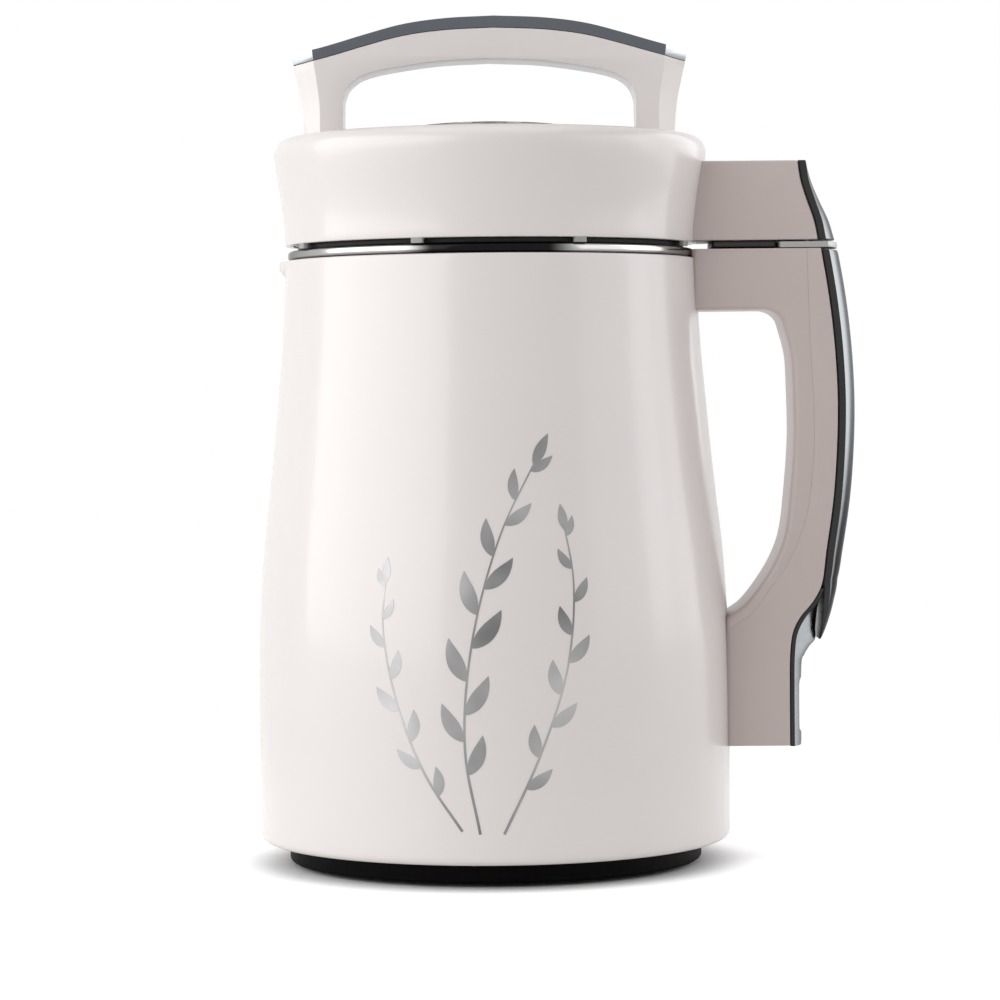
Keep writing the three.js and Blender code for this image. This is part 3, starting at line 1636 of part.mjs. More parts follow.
function shaft() {
  return turned([
    [0, threadBottomZ],
    [threadRadius, threadBottomZ],
    [threadRadius, shaftShoulderZ],
    [shaftRadius, shaftShoulderZ],
    [shaftRadius, shaftTopZ],
    [0, shaftTopZ],
  ], shaftSides);
}

const bladeTopZ = shaftShoulderZ - seatGap;
const bladeMiddleZ = bladeTopZ - bladeHubHeight / 2;

function blade() {
  const wings = Array.from({ length: bladeWings }, (_, i) => {
    const tip = bladeRadius;
    const outline = [
      [0, bladeWidth / 2],
      [0, -bladeWidth / 2],
      [tip * 0.7, -bladeWidth / 2],
      [tip, -bladeWidth / 8],
      [tip * 0.92, bladeWidth / 4],
      [tip * 0.6, bladeWidth / 2],
    ];
    const flat = standing(outline, -bladeThickness / 2, bladeThickness / 2);
    const tilt = i % 2 === 0 ? -bladeTiltDeg : bladeTiltDeg / 2;
    return spun(moved(flat, bladeHubRadius * 0.6, 0, 0).rotate([0, tilt, 0]), 360 * i / bladeWings);
  });
  const hub = uprightRod(bladeHubRadius, 0, 0, -bladeHubHeight / 2, bladeHubHeight / 2, smallSides);
  const level = joined(hub, ...wings).intersect(
    uprightRod(bladeRadius, 0, 0, -bladeRadius, bladeRadius, mediumSides),
  );
  const bore = uprightRod(
    threadRadius + seatGap, 0, 0, -bladeHubHeight - overrun, bladeHubHeight + overrun, shaftSides,
  );
  const shaftRoom = uprightRod(shaftRadius + seatGap, 0, 0, bladeHubHeight / 2, bladeRadius, shaftSides);
  return moved(cut(level, bore, shaftRoom), 0, 0, bladeMiddleZ);
}

function bladeNut() {
  const topZ = bladeTopZ - bladeHubHeight - seatGap;
  const hexagon = Array.from({ length: 6 }, (_, i) => [
    nutRadius * Math.cos(turn * i / 6),
    nutRadius * Math.sin(turn * i / 6),
  ]);
  const flats = standing(hexagon, topZ - nutHeight + nutDome, topZ);
  const dome = turned([
    [0, topZ - nutHeight],
    [nutRadius * 0.5, topZ - nutHeight + nutDome * 0.3],
    [nutRadius * 0.8, topZ - nutHeight + nutDome],
    [nutRadius * 0.8, topZ - nutHeight + 2 * nutDome],
    [0, topZ - nutHeight + 2 * nutDome],
  ], smallSides);
  const bore = threadRadius + seatGap;
  const thread = uprightRod(bore, 0, 0, threadBottomZ - seatGap, topZ + overrun, shaftSides);
  return cut(joined(flats, dome), thread);
}

function bladeGuard() {
  const bore = stemRadius + seatGap;
  const mouth = guardRadius - guardWall;
  const collarTopZ = collarBottomZ + collarHeight;
  const body = turned([
    [bore, collarBottomZ],
    [mouth, guardShoulderZ - guardWall / 2],
    [mouth, guardBottomZ],
    [guardRadius, guardBottomZ],
    [guardRadius, guardShoulderZ],
    [collarRadius, collarBottomZ + guardWall],
    [collarRadius, collarTopZ],
    [bore, collarTopZ],
  ], mediumSides);
  const groove = ring(
    bore - runGap,
    Math.hypot(stemRadius + lugReach, lugWidth / 2) + seatGap,
    lugZ - seatGap,
    lugZ + lugHeight + seatGap,
    mediumSides,
  );
  const entries = [0, 1].map((side) => spun(
    block(
      stemRadius - lugReach,
      stemRadius + lugReach + seatGap,
      -lugWidth / 2 - seatGap,
      lugWidth / 2 + seatGap,
      lugZ,
      collarTopZ + overrun,
    ),
    180 * side - lugReleaseDeg,
  ));
  const windows = Array.from({ length: guardWindows }, (_, i) => spun(
    block(
      mouth - guardWall,
      guardRadius + overrun,
      -guardWindowWidth / 2,
      guardWindowWidth / 2,
      guardBottomZ + guardWindowRise,
      guardBottomZ + guardWindowRise + guardWindowHeight,
    ),
    360 * (i + 1 / 2) / guardWindows,
  ));
  return cut(body, groove, ...entries, ...windows);
}

// Assembly

const object = new THREE.Group();
const outlineMaxX = handleRootX + handleReach + trimSideX + trimCrown;
object.position.x = (bellyRadius - outlineMaxX) / 2;

function add(name, body, finish) {
  const mesh = body.getMesh();
  const geometry = new THREE.BufferGeometry();
  geometry.setAttribute('position', new THREE.Float32BufferAttribute(mesh.vertProperties, 3));
  geometry.setIndex(Array.from(mesh.triVerts));
  geometry.computeVertexNormals();
  const part = new THREE.Mesh(geometry, new THREE.MeshStandardMaterial(finish));
  part.name = name;
  object.add(part);
}

add('outer_shell', outerShell(), colours.white);
add('inner_cup', innerCup(), colours.steel);
add('cup_gasket', cupGasket(), colours.clearRubber);
add('base_cover', baseCover(), colours.black);
footPlaces().forEach((place, i) => add(`foot_${i + 1}`, foot(place), colours.rubber));
baseScrewPlaces().forEach(([x, y], i) => {
  add(`base_screw_${i + 1}`, uprightScrew(x, y, screwSeatZ - seatGap, baseScrewLength, 1), colours.steel);
});
add('heater_plate', heaterPlate(), colours.aluminium);
add('heater_tube', heaterTube(), colours.steel);
add('thermostat', thermostat(), colours.carbon);
add('power_board', powerBoard(), colours.board);

const handle = handleShells();
add('handle_grip_shell', handle.grip, colours.greyWhite);
add('handle_back_shell', handle.back, colours.greyWhite);
add('handle_trim', handleTrim(), colours.chrome);
add('handle_top_plate', handleTopPlate(), colours.silver);
add('handle_screw_top', handleScrew(upperScrewZ), colours.steel);
add('handle_screw_bottom', handleScrew(lowerScrewZ), colours.steel);
add('inlet_bezel', inletBezel(), colours.chrome);
add('inlet_socket', inletSocket(), colours.black);
for (const [name, place] of Object.entries(inletPlaces())) {
  add(`inlet_pin_${name}`, inletPin(place, 0), colours.brass);
}
add('coupler_socket', couplerSocket(), colours.black);
add('lead_coupler', leadCoupler(), colours.lead);
add('lead_mains', leadMains(), colours.lead);

add('head_shell', headShell(), colours.white);
add('control_panel', controlPanel(), colours.panel);
buttonPlaces().forEach((place, i) => add(`button_${i + 1}`, button(place), colours.silver));
add('control_board', controlBoard(), colours.board);
add('carry_handle', carryHandle(), colours.white);
add('carry_handle_trim', carryTrim(), colours.chrome);
for (const [name, side] of [['left', -1], ['right', 1]]) {
  const seatZ = headTopZ - headWall - seatGap;
  add(`carry_screw_${name}`, uprightScrew(side * carryScrewX, 0, seatZ, carryScrewLength, 1), colours.steel);
  add(`brush_${name}`, brush(side, 0, 0), colours.carbon);
}
add('coupler_housing', couplerHousing(), colours.greyWhite);
add('coupler_trim', couplerTrim(), colours.chrome);
add('coupler_plug', couplerPlug(), colours.black);
add('lower_drum', lowerDrum(), colours.steel);
add('head_seal', headSeal(), colours.rubber);
const probes = probePlaces();
const temperatureProbe = probe(probes.temperature, temperatureProbeRadius, temperatureProbeTipZ);
const overflowProbe = probe(probes.overflow, overflowProbeRadius, overflowProbeTipZ);
add('temperature_probe', temperatureProbe, colours.steel);
add('overflow_probe', overflowProbe, colours.steel);
add('motor_bracket_bottom', motorBracketBottom(), colours.aluminium);
add('motor_stator', motorStator(), colours.copper);
add('motor_bracket_top', motorBracketTop(), colours.aluminium);
add('bearing_top', bearing(upperBracketZ + upperHubHeight - bearingHeight), colours.brass);
add('bearing_bottom', bearing(lowerBearingZ), colours.brass);
const shaftSealTopZ = lowerBearingZ - seatGap;
add('shaft_seal', ring(
  shaftRadius + runGap, stemBoreRadius - seatGap, shaftSealTopZ - stemSealHeight, shaftSealTopZ, shaftSides,
), colours.rubber);

add('shaft', shaft(), colours.steel);
add('rotor', rotor(), colours.copper);
add('commutator', ring(
  shaftRadius + seatGap, commutatorRadius, commutatorZ, commutatorZ + commutatorHeight, shaftSides,
), colours.copper);
add('fan', fan(), colours.black);
add('blade', blade(), colours.steel);
add('blade_nut', bladeNut(), colours.steel);
add('blade_guard', bladeGuard(), colours.steel);

export default object;
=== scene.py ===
"""Looks of the milk maker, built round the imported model.

Sizes are in millimetres about the jug's own axis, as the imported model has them, and are
turned into metres when a mesh is made. Front is -Y and the side handle is at +X.
"""

import math

import bmesh
import bpy
from mathutils import Euler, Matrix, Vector


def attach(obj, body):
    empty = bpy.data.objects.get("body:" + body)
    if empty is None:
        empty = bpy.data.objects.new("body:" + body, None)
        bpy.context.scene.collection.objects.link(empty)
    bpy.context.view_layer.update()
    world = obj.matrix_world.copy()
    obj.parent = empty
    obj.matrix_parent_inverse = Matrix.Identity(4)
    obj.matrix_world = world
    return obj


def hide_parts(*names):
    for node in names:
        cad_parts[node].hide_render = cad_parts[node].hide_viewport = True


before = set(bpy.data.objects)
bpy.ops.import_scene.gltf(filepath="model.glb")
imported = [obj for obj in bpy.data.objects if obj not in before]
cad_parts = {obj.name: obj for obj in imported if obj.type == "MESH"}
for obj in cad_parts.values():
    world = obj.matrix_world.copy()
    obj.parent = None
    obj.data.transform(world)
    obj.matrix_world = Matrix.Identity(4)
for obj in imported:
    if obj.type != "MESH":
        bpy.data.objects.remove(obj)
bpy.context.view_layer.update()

MM = 0.001
AXIS = -23.35  # the jug's axis in the model's frame
TURN = 2 * math.pi


def linked(thing):
    """The object, put into the scene."""
    bpy.context.scene.collection.objects.link(thing)
    return thing


# Camera, fitted to the photograph

LENS, SENSOR = 125.3, 36
CAMERA_PLACE = ((AXIS + 2.6) * MM, -1.28, 0.1725)  # metres
PITCH, ROLL = -1.79, -0.5  # degrees


def make_camera():
    data = bpy.data.cameras.new("camera")
    data.lens = LENS
    data.sensor_width = SENSOR
    data.clip_end = 20
    camera = linked(bpy.data.objects.new("camera", data))
    camera.location = CAMERA_PLACE
    camera.rotation_mode = "QUATERNION"
    look = Euler((math.radians(90 + PITCH), 0, 0)).to_quaternion()
    camera.rotation_quaternion = look @ Euler((0, 0, math.radians(ROLL))).to_quaternion()
    bpy.context.scene.camera = camera


make_camera()


# Curves in the plane

def clamped(share):
    return min(1.0, max(0.0, share))


def turned(point, angle, centre=(0, 0)):
    """A point (a, b), turned about the origin and then moved by a centre."""
    a, b = point
    cos, sin = math.cos(angle), math.sin(angle)
    return centre[0] + a * cos - b * sin, centre[1] + a * sin + b * cos


def fillet(points, steps=5):
    """Points (a, b) or (a, b, radius): corners with a radius are rounded. The ends stay."""
    side_share = 0.98  # how much of its shorter side a corner may take
    result = []
    for i, point in enumerate(points):
        if len(point) < 3 or i in (0, len(points) - 1):
            result.append(tuple(point[:2]))
            continue
        here = Vector(point[:2])
        before, after = Vector(points[i - 1][:2]) - here, Vector(points[i + 1][:2]) - here
        room = min(before.length, after.length) * side_share
        before.normalize()
        after.normalize()
        half = before.angle(after) / 2
        reach = min(point[2] / math.tan(half), room)
        radius = reach * math.tan(half)
        centre = here + (before + after).normalized() * (radius / math.sin(half))
        start, end = here + before * reach - centre, here + after * reach - centre
        sweep = start.angle_signed(end)
        for k in range(steps + 1):
            result.append(tuple(centre + Vector(turned(start, -sweep * k / steps))))
    return result


def spline(points, steps=6):
    """A smooth curve through points of two or more numbers, which keeps its ends."""
    vectors = [Vector(p) for p in points]
    count = len(vectors)
    result = []
    for i in range(count - 1):
        p1, p2 = vectors[i], vectors[i + 1]
        p0 = vectors[i - 1] if i > 0 else p1 * 2 - p2
        p3 = vectors[i + 2] if i + 2 < count else p2 * 2 - p1
        t1 = max((p1 - p0).length, 1e-6) ** 0.5
        t2 = t1 + max((p2 - p1).length, 1e-6) ** 0.5
        t3 = t2 + max((p3 - p2).length, 1e-6) ** 0.5
        for k in range(steps):
            t = t1 + (t2 - t1) * k / steps
            a1 = p0 * ((t1 - t) / t1) + p1 * (t / t1)
            a2 = p1 * ((t2 - t) / (t2 - t1)) + p2 * ((t - t1) / (t2 - t1))
            a3 = p2 * ((t3 - t) / (t3 - t2)) + p3 * ((t - t2) / (t3 - t2))
            b1 = a1 * ((t2 - t) / t2) + a2 * (t / t2)
            b2 = a2 * ((t3 - t) / (t3 - t1)) + a3 * ((t - t1) / (t3 - t1))
            result.append(tuple(b1 * ((t2 - t) / (t2 - t1)) + b2 * ((t - t1) / (t2 - t1))))
    result.append(tuple(vectors[-1]))
    return result


def between(table, t):
    """The value at t in rows (t, value), which rise in t."""
    if t <= table[0][0]:
        return table[0][1]
    for (t0, v0), (t1, v1) in zip(table, table[1:]):
        if t <= t1:
            return v0 + (v1 - v0) * (t - t0) / max(t1 - t0, 1e-9)
    return table[-1][1]


def resample(points, count):
    """The same line with evenly spaced points."""
    lengths = [0.0]
    for a, b in zip(points, points[1:]):
        lengths.append(lengths[-1] + math.dist(a, b))
    rows = [list(zip(lengths, [p[k] for p in points])) for k in range(len(points[0]))]
    steps = [lengths[-1] * i / (count - 1) for i in range(count)]
    return [tuple(between(row, s) for row in rows) for s in steps]


def at(angle, radius):
    return radius * math.cos(angle), radius * math.sin(angle)


def circle(radius, centre=(0, 0), sides=48):
    steps = (TURN * i / sides for i in range(sides))
    return [(centre[0] + radius * math.cos(a), centre[1] + radius * math.sin(a)) for a in steps]


def rounded_box(half_a, half_b, radius, centre=(0, 0), steps=6):
    points = []
    for corner, (sa, sb) in enumerate(((1, 1), (-1, 1), (-1, -1), (1, -1))):
        for i in range(steps + 1):
            angle = TURN / 4 * (corner + i / steps)
            points.append((
                centre[0] + sa * (half_a - radius) + radius * math.cos(angle),
                centre[1] + sb * (half_b - radius) + radius * math.sin(angle),
            ))
    return points


# Meshes

def place(point):
    """A point in millimetres about the jug's axis, as the scene has it."""
    x, y, z = point
    return ((AXIS + x) * MM, y * MM, z * MM)


def mesh_object(name, points, faces):
    mesh = bpy.data.meshes.new(name)
    mesh.from_pydata([place(p) for p in points], [], faces)
    work = bmesh.new()
    work.from_mesh(mesh)
    bmesh.ops.remove_doubles(work, verts=work.verts, dist=1e-7)
    bmesh.ops.recalc_face_normals(work, faces=work.faces)
    work.to_mesh(mesh)
    work.free()
    return linked(bpy.data.objects.new(name, mesh))


def finished(name, work):
    """A new object with the mesh that was worked on."""
    mesh = bpy.data.meshes.new(name)
    work.to_mesh(mesh)
    work.free()
    return linked(bpy.data.objects.new(name, mesh))


def discard(piece):
    mesh = piece.data
    bpy.data.objects.remove(piece)
    bpy.data.meshes.remove(mesh)


def baked(piece):
    """The piece with its modifiers applied."""
    graph = bpy.context.evaluated_depsgraph_get()
    graph.update()
    mesh = bpy.data.meshes.new_from_object(piece.evaluated_get(graph))
    old = piece.data
    piece.modifiers.clear()
    piece.data = mesh
    bpy.data.meshes.remove(old)
    return piece


def cut(piece, *cutters, how="DIFFERENCE"):
    for cutter in cutters:
        modifier = piece.modifiers.new("cut", "BOOLEAN")
        modifier.operation = how
        modifier.solver = "EXACT"
        modifier.object = cutter
    baked(piece)
    for cutter in cutters:
        discard(cutter)
    return piece


def soften(piece, width, segments, angle):
    modifier = piece.modifiers.new("edges", "BEVEL")
    modifier.width = width * MM
    modifier.segments = segments
    modifier.limit_method = "ANGLE"
    modifier.angle_limit = math.radians(angle)
    modifier.use_clamp_overlap = True


def bevelled(piece, width, segments=3, angle=35):
    soften(piece, width, segments, angle)
    return baked(piece)


def joined(name, pieces):
    work = bmesh.new()
    for piece in pieces:
        work.from_mesh(piece.data)
        discard(piece)
    return finished(name, work)


def skirt(a, b, count):
    """Faces between two closed rings, whose points start at the numbers a and b."""
    return [(a + i, a + (i + 1) % count, b + (i + 1) % count, b + i) for i in range(count)]


def lathe(name, profile, segments=144, reshape=None, centre=(0, 0)):
    """A piece turned about an upright axis. A profile that touches the axis has both ends on it;
    any other closes on itself."""
    capped = profile[0][0] < 1e-6 and profile[-1][0] < 1e-6
    rows = profile[1:-1] if capped else profile
    count = len(rows)
    points = []
    for r, z in rows:
        for i in range(segments):
            angle = TURN * i / segments
            x, y = r * math.cos(angle), r * math.sin(angle)
            if reshape:
                x, y = reshape(x, y, z, angle)
            points.append((x + centre[0], y + centre[1], z))
    faces = []
    for k in range(count - 1 if capped else count):
        faces += skirt(k * segments, (k + 1) % count * segments, segments)
    if capped:
        for row, (_, z) in ((0, profile[0]), (count - 1, profile[-1])):
            first, tip = row * segments, len(points)
            points.append((*centre, z))
            faces += [(first + i, first + (i + 1) % segments, tip) for i in range(segments)]
    return mesh_object(name, points, faces)


def extruded(name, near, far):
    """A piece between two like outlines of points (x, y, z)."""
    count = len(near)
    faces = [tuple(range(count)), tuple(range(2 * count - 1, count - 1, -1))]
    return mesh_object(name, near + far, faces + skirt(0, count, count))


def plate(name, outline, depth):
    """An outline of points (x, z) with a thickness along Y."""
    return extruded(name, *([(x, y, z) for x, z in outline] for y in (-depth / 2, depth / 2)))


def prism(name, outline, z0, z1):
    """An outline of points (x, y) with a height."""
    return extruded(name, *([(x, y, z) for x, y in outline] for z in (z0, z1)))


def bar(name, outline, x0, x1):
    """An outline of points (y, z) with a length along X."""
    return extruded(name, *([(x, y, z) for y, z in outline] for x in (x0, x1)))


def loft(name, rings):
    """A skin through closed rings of points (x, y, z), with flat ends."""
    count = len(rings[0])
    last = (len(rings) - 1) * count
    faces = [face for k in range(len(rings) - 1) for face in skirt(k * count, (k + 1) * count, count)]
    faces += [tuple(range(count)), tuple(range(last + count - 1, last - 1, -1))]
    return mesh_object(name, [p for ring in rings for p in ring], faces)


def smooth(piece, angle):
    mesh = piece.data
    mesh.polygons.foreach_set("use_smooth", [True] * len(mesh.polygons))
    mesh.set_sharp_from_angle(angle=math.radians(angle))


# Materials

NOISE_SPAN = (0.3, 0.7)  # nearly all values of a noise lie in it
COAT_ROUGHNESS = 0.06
SUBSURFACE_SCALE = 0.002
BUMP_STRENGTH = 0.6
PAINTED_REFLECTION_HEIGHTS = (0.095, 0.19)  # metres: the painted reflection strip's tone and width change between them
PAINTED_REFLECTION_EDGES = ((0.0148, 0.0105), (0.0167, 0.0145))  # where its edge starts and ends, low and high


class Tree:
    """The shader nodes of a material or world, with short ways to add to them."""

    def __init__(self, owner):
        owner.use_nodes = True
        self.nodes, self.links = owner.node_tree.nodes, owner.node_tree.links
        self.nodes.clear()

    def add(self, kind, inputs=None, mode=None):
        """Adds a node. Each input gets a value, or the socket that feeds it."""
        made = self.nodes.new("ShaderNode" + kind)
        if mode and kind == "MapRange":
            made.interpolation_type = mode
        elif mode and kind == "Mix":
            made.data_type = mode
        elif mode:
            made.operation = mode
        for name, value in (inputs or {}).items():
            if isinstance(value, bpy.types.NodeSocket):
                self.links.new(value, made.inputs[name])
            else:
                made.inputs[name].default_value = value
        return made

    def maths(self, operation, *values):
        return self.add("Math", dict(enumerate(values)), operation).outputs[0]

    def passage(self, value, start, end, height=1.0):
        """A soft rise from 0 at start to a height at end."""
        inputs = {"Value": value, "From Min": start, "From Max": end, "To Max": height}
        return self.add("MapRange", inputs, "SMOOTHSTEP").outputs["Result"]

    def span(self, value, low, high, source=(0.0, 1.0)):
        """The value's source range, spread from low to high."""
        inputs = {
            "Value": value, "From Min": source[0], "From Max": source[1], "To Min": low, "To Max": high,
        }
        return self.add("MapRange", inputs).outputs["Result"]

    def blend(self, share, first, second):
        """A mix of two tones, each a colour or a socket."""
        tones = [t if isinstance(t, bpy.types.NodeSocket) else (*t, 1) for t in (first, second)]
        return self.add("Mix", {0: share, 6: tones[0], 7: tones[1]}, "RGBA").outputs[2]


def surface(name, colour, roughness, metallic, vary, grain, *, vary_scale=18.0, stretch=(1, 1, 1),
            specular=0.5, tint=1.0, coat=0.0, subsurface=0.0, second=None, strip=None, front=None):
    """A surface with broad changes of colour, and fine grain in its height and gloss.

    vary is how much the colour and the gloss change, and grain has the fine noise's scale
    and height. stretch draws the grain out along one axis, as brushing does. tint below 1
    dulls a metal at a low angle. second is (tone, amount) in the grain. strip is the low and
    the high tone of a painted dark reflection down the middle of the handle's back, and
    front (tone, inner, outer) the tone of a painted dark reflection near the middle of a
    ring's front and back.
    """
    material = bpy.data.materials.new(name)
    tree = Tree(material)
    where = tree.add("TexCoord").outputs["Object"]
    broad = tree.add("TexNoise", {"Vector": where, "Scale": vary_scale, "Detail": 3})
    ramp = tree.add("ValToRGB", {"Fac": broad.outputs["Fac"]})
    for element, share, change in zip(ramp.color_ramp.elements, NOISE_SPAN, (-vary[0], vary[0])):
        element.position = share
        element.color = (*[clamped(c * (1 + change)) for c in colour], 1)
    tone = ramp.outputs["Color"]

    drawn_out = tree.add("Mapping", {"Vector": where, "Scale": stretch}).outputs["Vector"]
    fine = tree.add("TexNoise", {"Vector": drawn_out, "Scale": grain[0], "Detail": 2}).outputs["Fac"]
    if second:
        tone = tree.blend(tree.maths("MULTIPLY", fine, second[1]), tone, second[0])
    if strip or front:
        parts = tree.add("SeparateXYZ", {0: where}).outputs
    # painted dark reflection down the middle of the face, darker low down and lighter high up
    if strip:
        rise = tree.passage(parts["Z"], *PAINTED_REFLECTION_HEIGHTS)
        edge = [tree.span(rise, low, high) for low, high in PAINTED_REFLECTION_EDGES]
        fall = tree.passage(tree.maths("ABSOLUTE", parts["Y"]), *edge)
        tone = tree.blend(fall, tree.blend(rise, *strip), tone)
    # painted dark reflection near the middle of a ring's front and back, fading out between inner and outer
    if front:
        aside = tree.maths("ABSOLUTE", tree.maths("SUBTRACT", parts["X"], AXIS * MM))
        tone = tree.blend(tree.passage(aside, front[1] * MM, front[2] * MM), front[0], tone)

    gloss = tree.span(fine, max(0.02, roughness - vary[1]), min(1.0, roughness + vary[1]), NOISE_SPAN)
    bump = tree.add("Bump", {"Height": fine, "Strength": BUMP_STRENGTH, "Distance": grain[1] * MM})
    inputs = {
        "Base Color": tone, "Metallic": metallic, "Roughness": gloss, "Normal": bump.outputs["Normal"],
        "Specular IOR Level": specular, "Specular Tint": (tint, tint, tint, 1),
    }
    if coat:
        inputs |= {"Coat Weight": coat, "Coat Roughness": COAT_ROUGHNESS}
    if subsurface:
        inputs |= {"Subsurface Weight": subsurface, "Subsurface Scale": SUBSURFACE_SCALE}
    tree.add("OutputMaterial", {0: tree.add("BsdfPrincipled", inputs).outputs[0]})
    return material


# Name, colour, roughness, metallic, (change of colour, of gloss), (grain's scale, height in mm)
white = surface("white_gloss_plastic", (0.80, 0.75, 0.735), 0.24, 0.0, (0.012, 0.03), (520, 0.008),
                vary_scale=9, coat=0.25)
grey_white = surface("grey_white_plastic", (0.585, 0.505, 0.48), 0.34, 0.0, (0.02, 0.03), (420, 0.004),
                     vary_scale=14)
black_plastic = surface("black_moulded_plastic", (0.020, 0.018, 0.017), 0.45, 0.0, (0.2, 0.08),
                        (1600, 0.03))
base_black = surface("black_base_plastic", (0.0016, 0.0015, 0.0014), 0.6, 0.0, (0.2, 0.08), (1600, 0.03),
                     specular=0.05)
rubber = surface("black_rubber", (0.028, 0.027, 0.027), 0.75, 0.0, (0.15, 0.08), (2200, 0.04))
clear_rubber = surface("milky_silicone", (0.66, 0.65, 0.63), 0.5, 0.0, (0.03, 0.05), (1400, 0.01),
                       subsurface=0.3)
panel_gloss = surface("panel_black_gloss", (0.006, 0.0065, 0.008), 0.2, 0.0, (0.2, 0.03), (400, 0.004),
                      specular=0.05)
window_gloss = surface("window_smoked", (0.003, 0.004, 0.007), 0.06, 0.0, (0.2, 0.015), (300, 0.002),
                       specular=0.15)
steel = surface("polished_steel", (0.54, 0.53, 0.52), 0.18, 1.0, (0.03, 0.05), (240, 0.006),
                stretch=(1, 1, 14))
brushed = surface("brushed_steel", (0.44, 0.435, 0.43), 0.3, 1.0, (0.04, 0.1), (260, 0.012),
                  stretch=(1, 1, 16))
# the rim carries a painted dark reflection near the middle of its front and back
rim_steel = surface("rolled_rim_steel", (0.46, 0.455, 0.45), 0.14, 1.0, (0.05, 0.04), (300, 0.005),
                    tint=0.5, front=((0.012, 0.012, 0.012), 20, 33))
screw_steel = surface("plated_screw_steel", (0.5, 0.5, 0.5), 0.3, 1.0, (0.08, 0.1), (1800, 0.01))
# a dark copy of the chrome: painted dark reflection on the carry trim's front and back
dark_chrome = surface("dark_chrome", (0.115, 0.125, 0.14), 0.2, 1.0, (0.06, 0.04), (300, 0.004))
# a dark copy of the chrome: painted dark reflection on the strips' sides
chrome_side_painted_reflection = surface("trim_side_painted_dark_reflection", (0.028, 0.028, 0.029), 0.32, 0.6, (0.15, 0.06), (500, 0.006))
CHROME = (1.0, (0.03, 0.03), (300, 0.004))
bright_chrome = surface("trim_bright_chrome", (0.36, 0.375, 0.39), 0.22, *CHROME, tint=0.4)
# its face carries a painted dark reflection down the middle, from strip
band_chrome = surface("trim_band_chrome", (0.44, 0.455, 0.47), 0.28, *CHROME, tint=0.35,
                      strip=((0.07, 0.073, 0.077), (0.24, 0.25, 0.26)))
frame_chrome = surface("inlet_frame_chrome", (0.42, 0.435, 0.45), 0.26, *CHROME, tint=0.35)
silver = surface("silver_satin", (0.36, 0.365, 0.35), 0.36, 0.7, (0.04, 0.06), (900, 0.008))
print_silver = surface("print_silver", (0.33, 0.325, 0.33), 0.36, 0.5, (0.5, 0.06), (700, 0.006),
                       vary_scale=24)
button_silver = surface("button_silver", (0.42, 0.425, 0.43), 0.3, 0.4, (0.03, 0.04), (1200, 0.008))
aluminium = surface("cast_aluminium", (0.55, 0.55, 0.56), 0.45, 1.0, (0.08, 0.12), (1500, 0.03))
iron = surface("lamination_iron", (0.26, 0.2, 0.16), 0.5, 0.7, (0.12, 0.1), (220, 0.05),
               stretch=(1, 1, 12), second=((0.45, 0.2, 0.09), 0.5))
copper = surface("copper_bars", (0.72, 0.36, 0.2), 0.32, 1.0, (0.08, 0.1), (500, 0.02))
brass = surface("nickelled_brass", (0.68, 0.6, 0.42), 0.28, 1.0, (0.05, 0.08), (900, 0.008))
carbon = surface("pressed_carbon", (0.03, 0.03, 0.033), 0.7, 0.0, (0.2, 0.05), (2000, 0.03))
board_green = surface("circuit_board", (0.03, 0.14, 0.06), 0.4, 0.0, (0.25, 0.05), (600, 0.02),
                      vary_scale=90, second=((0.3, 0.32, 0.2), 0.4))
sleeve = surface("woven_lead_sleeve", (0.05, 0.05, 0.055), 0.7, 0.0, (0.2, 0.05), (1200, 0.05),
                 stretch=(1, 1, 0.3))
# the ribs are the white plastic, darkened as painted shade under the head's rim
rib_painted_shade = surface("rib_white_plastic_painted_shade", (0.34, 0.325, 0.315), 0.45, 0.0, (0.05, 0.05), (700, 0.01))
mark_white = surface("panel_mark", (0.62, 0.63, 0.64), 0.4, 0.0, (0.04, 0.05), (800, 0.003))


def dress(piece, material, body, nodes=(), angle=32):
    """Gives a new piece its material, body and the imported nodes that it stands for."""
    piece.data.materials.clear()
    piece.data.materials.append(material)
    smooth(piece, angle)
    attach(piece, body)
    if nodes:
        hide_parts(*nodes)


def face_with(piece, material, chosen):
    """Gives a dressed piece a second material on the faces that are chosen."""
    piece.data.materials.append(material)
    for polygon in piece.data.polygons:
        polygon.material_index = 1 if chosen(polygon) else 0


def paint(material, *names):
    """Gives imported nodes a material."""
    for name in names:
        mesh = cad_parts[name].data
        mesh.materials.clear()
        mesh.materials.append(material)
        mesh.polygons.foreach_set("material_index", [0] * len(mesh.polygons))


# Jug jacket

SHELL_BOTTOM, SHELL_TOP = 8.8, 220.5
BELLY, NECK, SHELL_WALL = 86.4, 75.2, 2.8
BELLY_CURVE = spline([
    (0, 1), (0.12, 1), (0.24, 0.998), (0.33, 0.972), (0.41, 0.92), (0.5, 0.8), (0.58, 0.63), (0.67, 0.445),
    (0.76, 0.285), (0.84, 0.145), (0.93, 0.045), (1, 0),
], 8)
LIP_DEPTH, LIP_CLIMB, LIP_HALF, LIP_REACH, LIP_EDGE = 6, 4.4, 8.2, 3.0, 1.4
LIP_INNER = 72  # the lip moves only what lies outside it


def shell_radius(z):
    share = between(BELLY_CURVE, (z - SHELL_BOTTOM) / (SHELL_TOP - SHELL_BOTTOM))
    return NECK + share * (BELLY - NECK)


def pouring_lip(x, y, z, angle):
    """A small lip in the jacket's top edge, opposite the handle."""
    r = math.hypot(x, y)
    rise = clamped((z - (SHELL_TOP - LIP_DEPTH)) / LIP_CLIMB)
    rise = rise * rise * (3 - 2 * rise)
    across = max(0.0, 1 - (y / LIP_HALF) ** 2) if x < 0 and r > LIP_INNER else 0.0
    fall = 1 - 0.35 * max(0.0, (z - (SHELL_TOP - LIP_EDGE)) / LIP_EDGE)
    grown = r + LIP_REACH * rise * fall * across ** 1.5
    return at(angle, grown)


